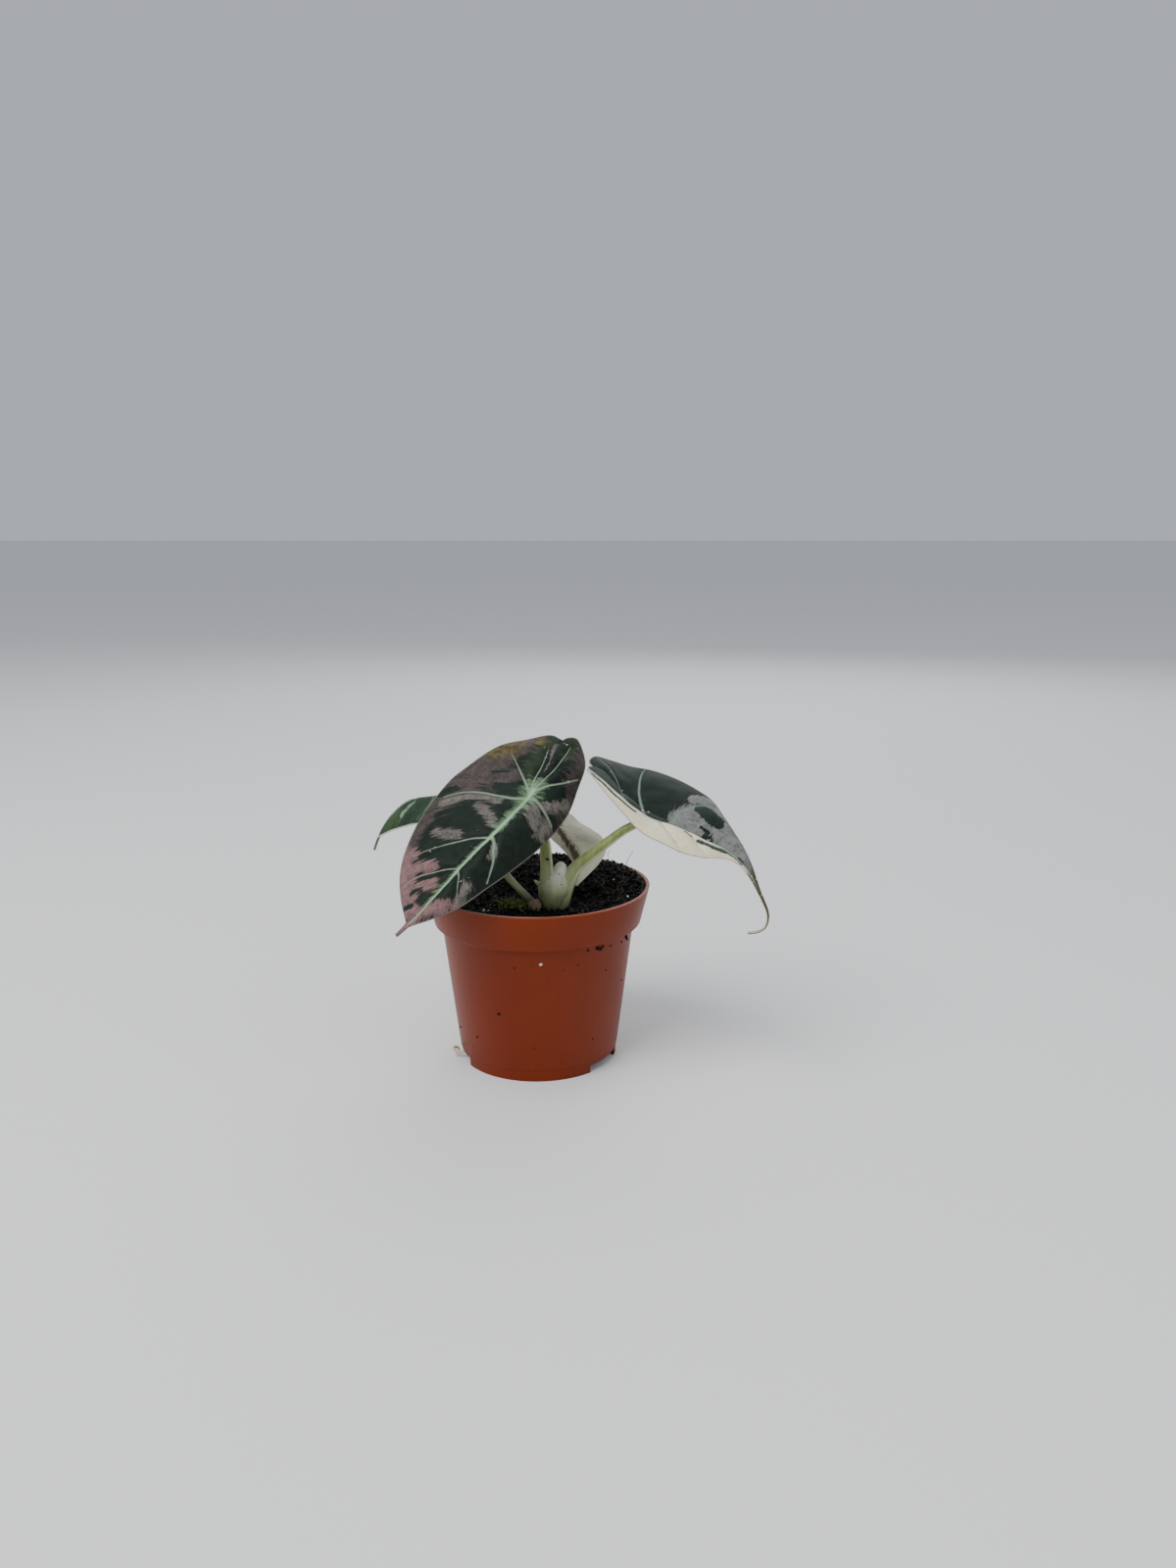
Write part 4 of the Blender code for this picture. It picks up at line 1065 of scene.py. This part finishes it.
RIBS, RIB_DEPTH, SHEATH_HALF, SHEATH_SWELL = 11, 0.015, 0.42, 0.3
stalk_skin = new_material("stalk skin", Roughness=0.4, Subsurface_Weight=0.12,
                          Subsurface_Scale=0.0015)
long_grain = cloud(stalk_skin, 800, 3, stretch=(1, 1, 0.12))
stalk_colour = mixed(stalk_skin, patch(stalk_skin, long_grain, 0.35, 0.7),
                     (104, 118, 58), (138, 148, 84))
sheath_edge = patch(stalk_skin, field(stalk_skin, "sheath"), 0.4, 0.65, long_grain, 0.3)
stalk_colour = mixed(stalk_skin, sheath_edge, stalk_colour, (188, 194, 156))
stalk_colour = by_height(stalk_skin, stalk_colour, (158, 166, 130), 0.0665, 0.056, -0.005)
stalk_colour = by_height(stalk_skin, stalk_colour, *DAMP)
paint(stalk_skin, "Base Color", stalk_colour)
relief(stalk_skin, long_grain, 0.0003, 0.5)


def stalk(name, stations, form, node, sheath_at, sheath=0.12):
    """A ribbed stalk that ends just under its leaf's midrib."""
    at = np.array([form.leaf["junction"]], float)
    under = form.normal(at)[0]
    seat = form.point(np.zeros(1), at)[0] - under * form.leaf["seat"]
    r = stations[-1][1]
    full = list(stations) + [(tuple(seat - under * SEAT_RUN), r), (tuple(seat), r)]

    def ribs(angle, along):
        turn = math.remainder(angle - sheath_at, math.tau)
        swell = sheath * (1 - along) * math.exp(-(turn / SHEATH_SWELL) ** 2)
        return 1 + RIB_DEPTH * math.cos(RIBS * angle) + swell

    bm = bmesh.new()
    swept(bm, full, sides=40, per_span=7, shape=ribs)
    piece = finished(name, bm, stalk_skin, node, sharp=60, merge=0)
    angle = read_layer(piece.data, "angle")
    turn = np.abs((angle - sheath_at + np.pi) % math.tau - np.pi)
    store_layer(piece.data, "sheath", np.clip(1 - 0.5 * turn / SHEATH_HALF, 0, 1))


stalk("front_stalk", FRONT_STALK, front_form, "stalk_front", sheath_at=-0.35)
stalk("right_stalk", RIGHT_STALK, right_form, "stalk_right", sheath_at=-0.6, sheath=0.3)
stalk("left_stalk", LEFT_STALK, left_form, "stalk_left", sheath_at=0.5)
stalk("back_stalk", BACK_STALK, back_form, "stalk_back", sheath_at=1.0)

# %% [markdown]
# The plant was sprayed: small round drops sit on the blades and on the pot. Real
# beads of water are used and not a texture, so they glint from every side.

# %% Water drops
LEAF_DROPS = ((front_form, 46), (right_form, 26), (left_form, 14), (back_form, 8))
POT_DROPS, DROP_FLATNESS = 16, 0.6
water = new_material("water", Base_Color=(1, 1, 1, 1), Roughness=0.02, IOR=1.33,
                     Transmission_Weight=1.0)
drops = bmesh.new()
drop_rng = random.Random(21)


def drop(bm, centre, up, size):
    turn = Vector(up).to_track_quat('Z', 'Y').to_matrix().to_4x4()
    squash = Matrix.Diagonal((size * MM, size * MM, DROP_FLATNESS * size * MM, 1))
    place = Matrix.Translation(Vector(centre) * MM) @ turn @ squash
    bmesh.ops.create_icosphere(bm, subdivisions=2, radius=1.0, matrix=place)


for form, count in LEAF_DROPS:
    for _ in range(count):
        place = (np.array([drop_rng.uniform(-0.9, 0.9)]),
                 np.array([drop_rng.uniform(1.5, form.last - 3.5)]))
        up = form.normal(place[1])[0]
        size = drop_rng.uniform(0.14, 0.42)
        drop(drops, form.point(*place)[0] + up * (0.35 + 0.1 * size), up, size)
for _ in range(POT_DROPS):
    z, angle = drop_rng.uniform(6, 42), drop_rng.uniform(0, math.tau)
    r, size = wall_out(z), drop_rng.uniform(0.2, 0.42)
    drop(drops, (r * math.cos(angle), r * math.sin(angle), z),
         (math.cos(angle), math.sin(angle), 0), size)
finished("water_drops", drops, water, sharp=180, merge=0)

# %% [markdown]
# Soil grains stick to the damp pot, most of them under the band, one white perlite
# grain sits at the front, and one dark grain is on the front stalk.

# %% Stuck grains
GRAINS = (
    (3.6, -15.0, 67.0, 0.5), (-10.8, -25.1, 22.0, 0.55), (-5.7, -28.7, 37.9, 0.35),
    (15.8, -25.4, 42.1, 0.4), (18.6, -23.3, 42.0, 0.8), (19.4, -22.7, 41.6, 0.65),
    (20.2, -22.0, 42.1, 0.5), (22.5, -19.5, 41.5, 0.35), (25.9, -14.5, 40.9, 0.4),
    (27.3, -11.8, 41.6, 0.75), (27.6, -11.2, 40.9, 0.55), (27.8, -10.4, 40.2, 0.35),
    (12.9, -26.3, 37.9, 0.3), (8.6, -27.9, 37.0, 0.25), (21.1, -19.7, 33.8, 0.3),
    (-24.1, -9.8, 11.3, 0.3), (-18.0, -18.9, 12.0, 0.35), (26.1, -10.1, 27.0, 0.3),
    (17.2, -19.5, 11.7, 0.35), (-0.4, -26.0, 11.4, 0.25), (4.3, -28.5, 34.1, 0.2),
    (-29.5, 6.0, 41.5, 0.5), (-20, 22.4, 40, 0.4), (10, 28.5, 41.8, 0.5), (2, 28.0, 30, 0.3))
stuck = bmesh.new()
for x, y, z, size in GRAINS:
    lump(stuck, (x, y, z), (size, size * 0.7, size * 0.8), drop_rng, 2)
finished("stuck_grains", stuck, soil_skin, merge=0)
STUCK_PERLITE_AT, STUCK_PERLITE_RADII = (2.0, -29.5, 39.3), (0.6, 0.4, 0.4)
stuck_perlite = bmesh.new()
lump(stuck_perlite, STUCK_PERLITE_AT, STUCK_PERLITE_RADII, drop_rng, 2)
finished("stuck_perlite", stuck_perlite, perlite_skin, merge=0)

# %% [markdown]
# The stage is a pale floor that runs far back and soft light from large lamps: a
# key from the upper left, a weak fill, a lamp behind and a pale sky. The camera
# stands where the rim's and the band's ellipses say it stood.

# %% Floor, light and camera
FLOOR_HALF, FLOOR_TONE = 40.0, (0.78, 0.78, 0.77, 1)
floor_shape = bmesh.new()
bmesh.ops.create_grid(floor_shape, x_segments=1, y_segments=1, size=FLOOR_HALF)
floor = placed("floor", mesh_from("floor", floor_shape))
floor.data.materials.append(new_material("pale floor", Base_Color=FLOOR_TONE, Roughness=0.9))

LAMPS = (("key", (-0.5, -0.5, 0.95), 0.8, 13.0), ("fill", (0.8, -0.5, 0.5), 0.9, 2.0),
         ("back", (0.2, 0.9, 0.7), 0.8, 4.0))
LAMPS_AIM = Vector((0, 0, 0.06))
SKY_TONE, SKY_STRENGTH = (0.86, 0.91, 1.0, 1), 0.55
for name, place, size, power in LAMPS:
    lamp = bpy.data.lights.new(name, 'AREA')
    lamp.size, lamp.energy = size, power
    holder = placed(name, lamp)
    holder.location = place
    holder.rotation_euler = (LAMPS_AIM - Vector(place)).to_track_quat('-Z', 'Y').to_euler()
world = bpy.data.worlds.new("sky")
bpy.context.scene.world = world
world.use_nodes = True
sky = world.node_tree.nodes["Background"].inputs
sky[0].default_value, sky[1].default_value = SKY_TONE, SKY_STRENGTH

IMAGE_H, FOCAL_PX, SENSOR_MM = 1600, 1208, 36
CAMERA_AT, CAMERA_DOWN_DEG, NEAREST = (0.01575, -0.3565, 0.1616), 11.84, 0.01
camera = placed("camera", bpy.data.cameras.new("camera"))
camera.data.sensor_width = SENSOR_MM
camera.data.lens = SENSOR_MM * FOCAL_PX / IMAGE_H
camera.data.clip_start = NEAREST
camera.location = CAMERA_AT
camera.rotation_euler = (math.radians(90 - CAMERA_DOWN_DEG), 0, 0)
bpy.context.scene.camera = camera
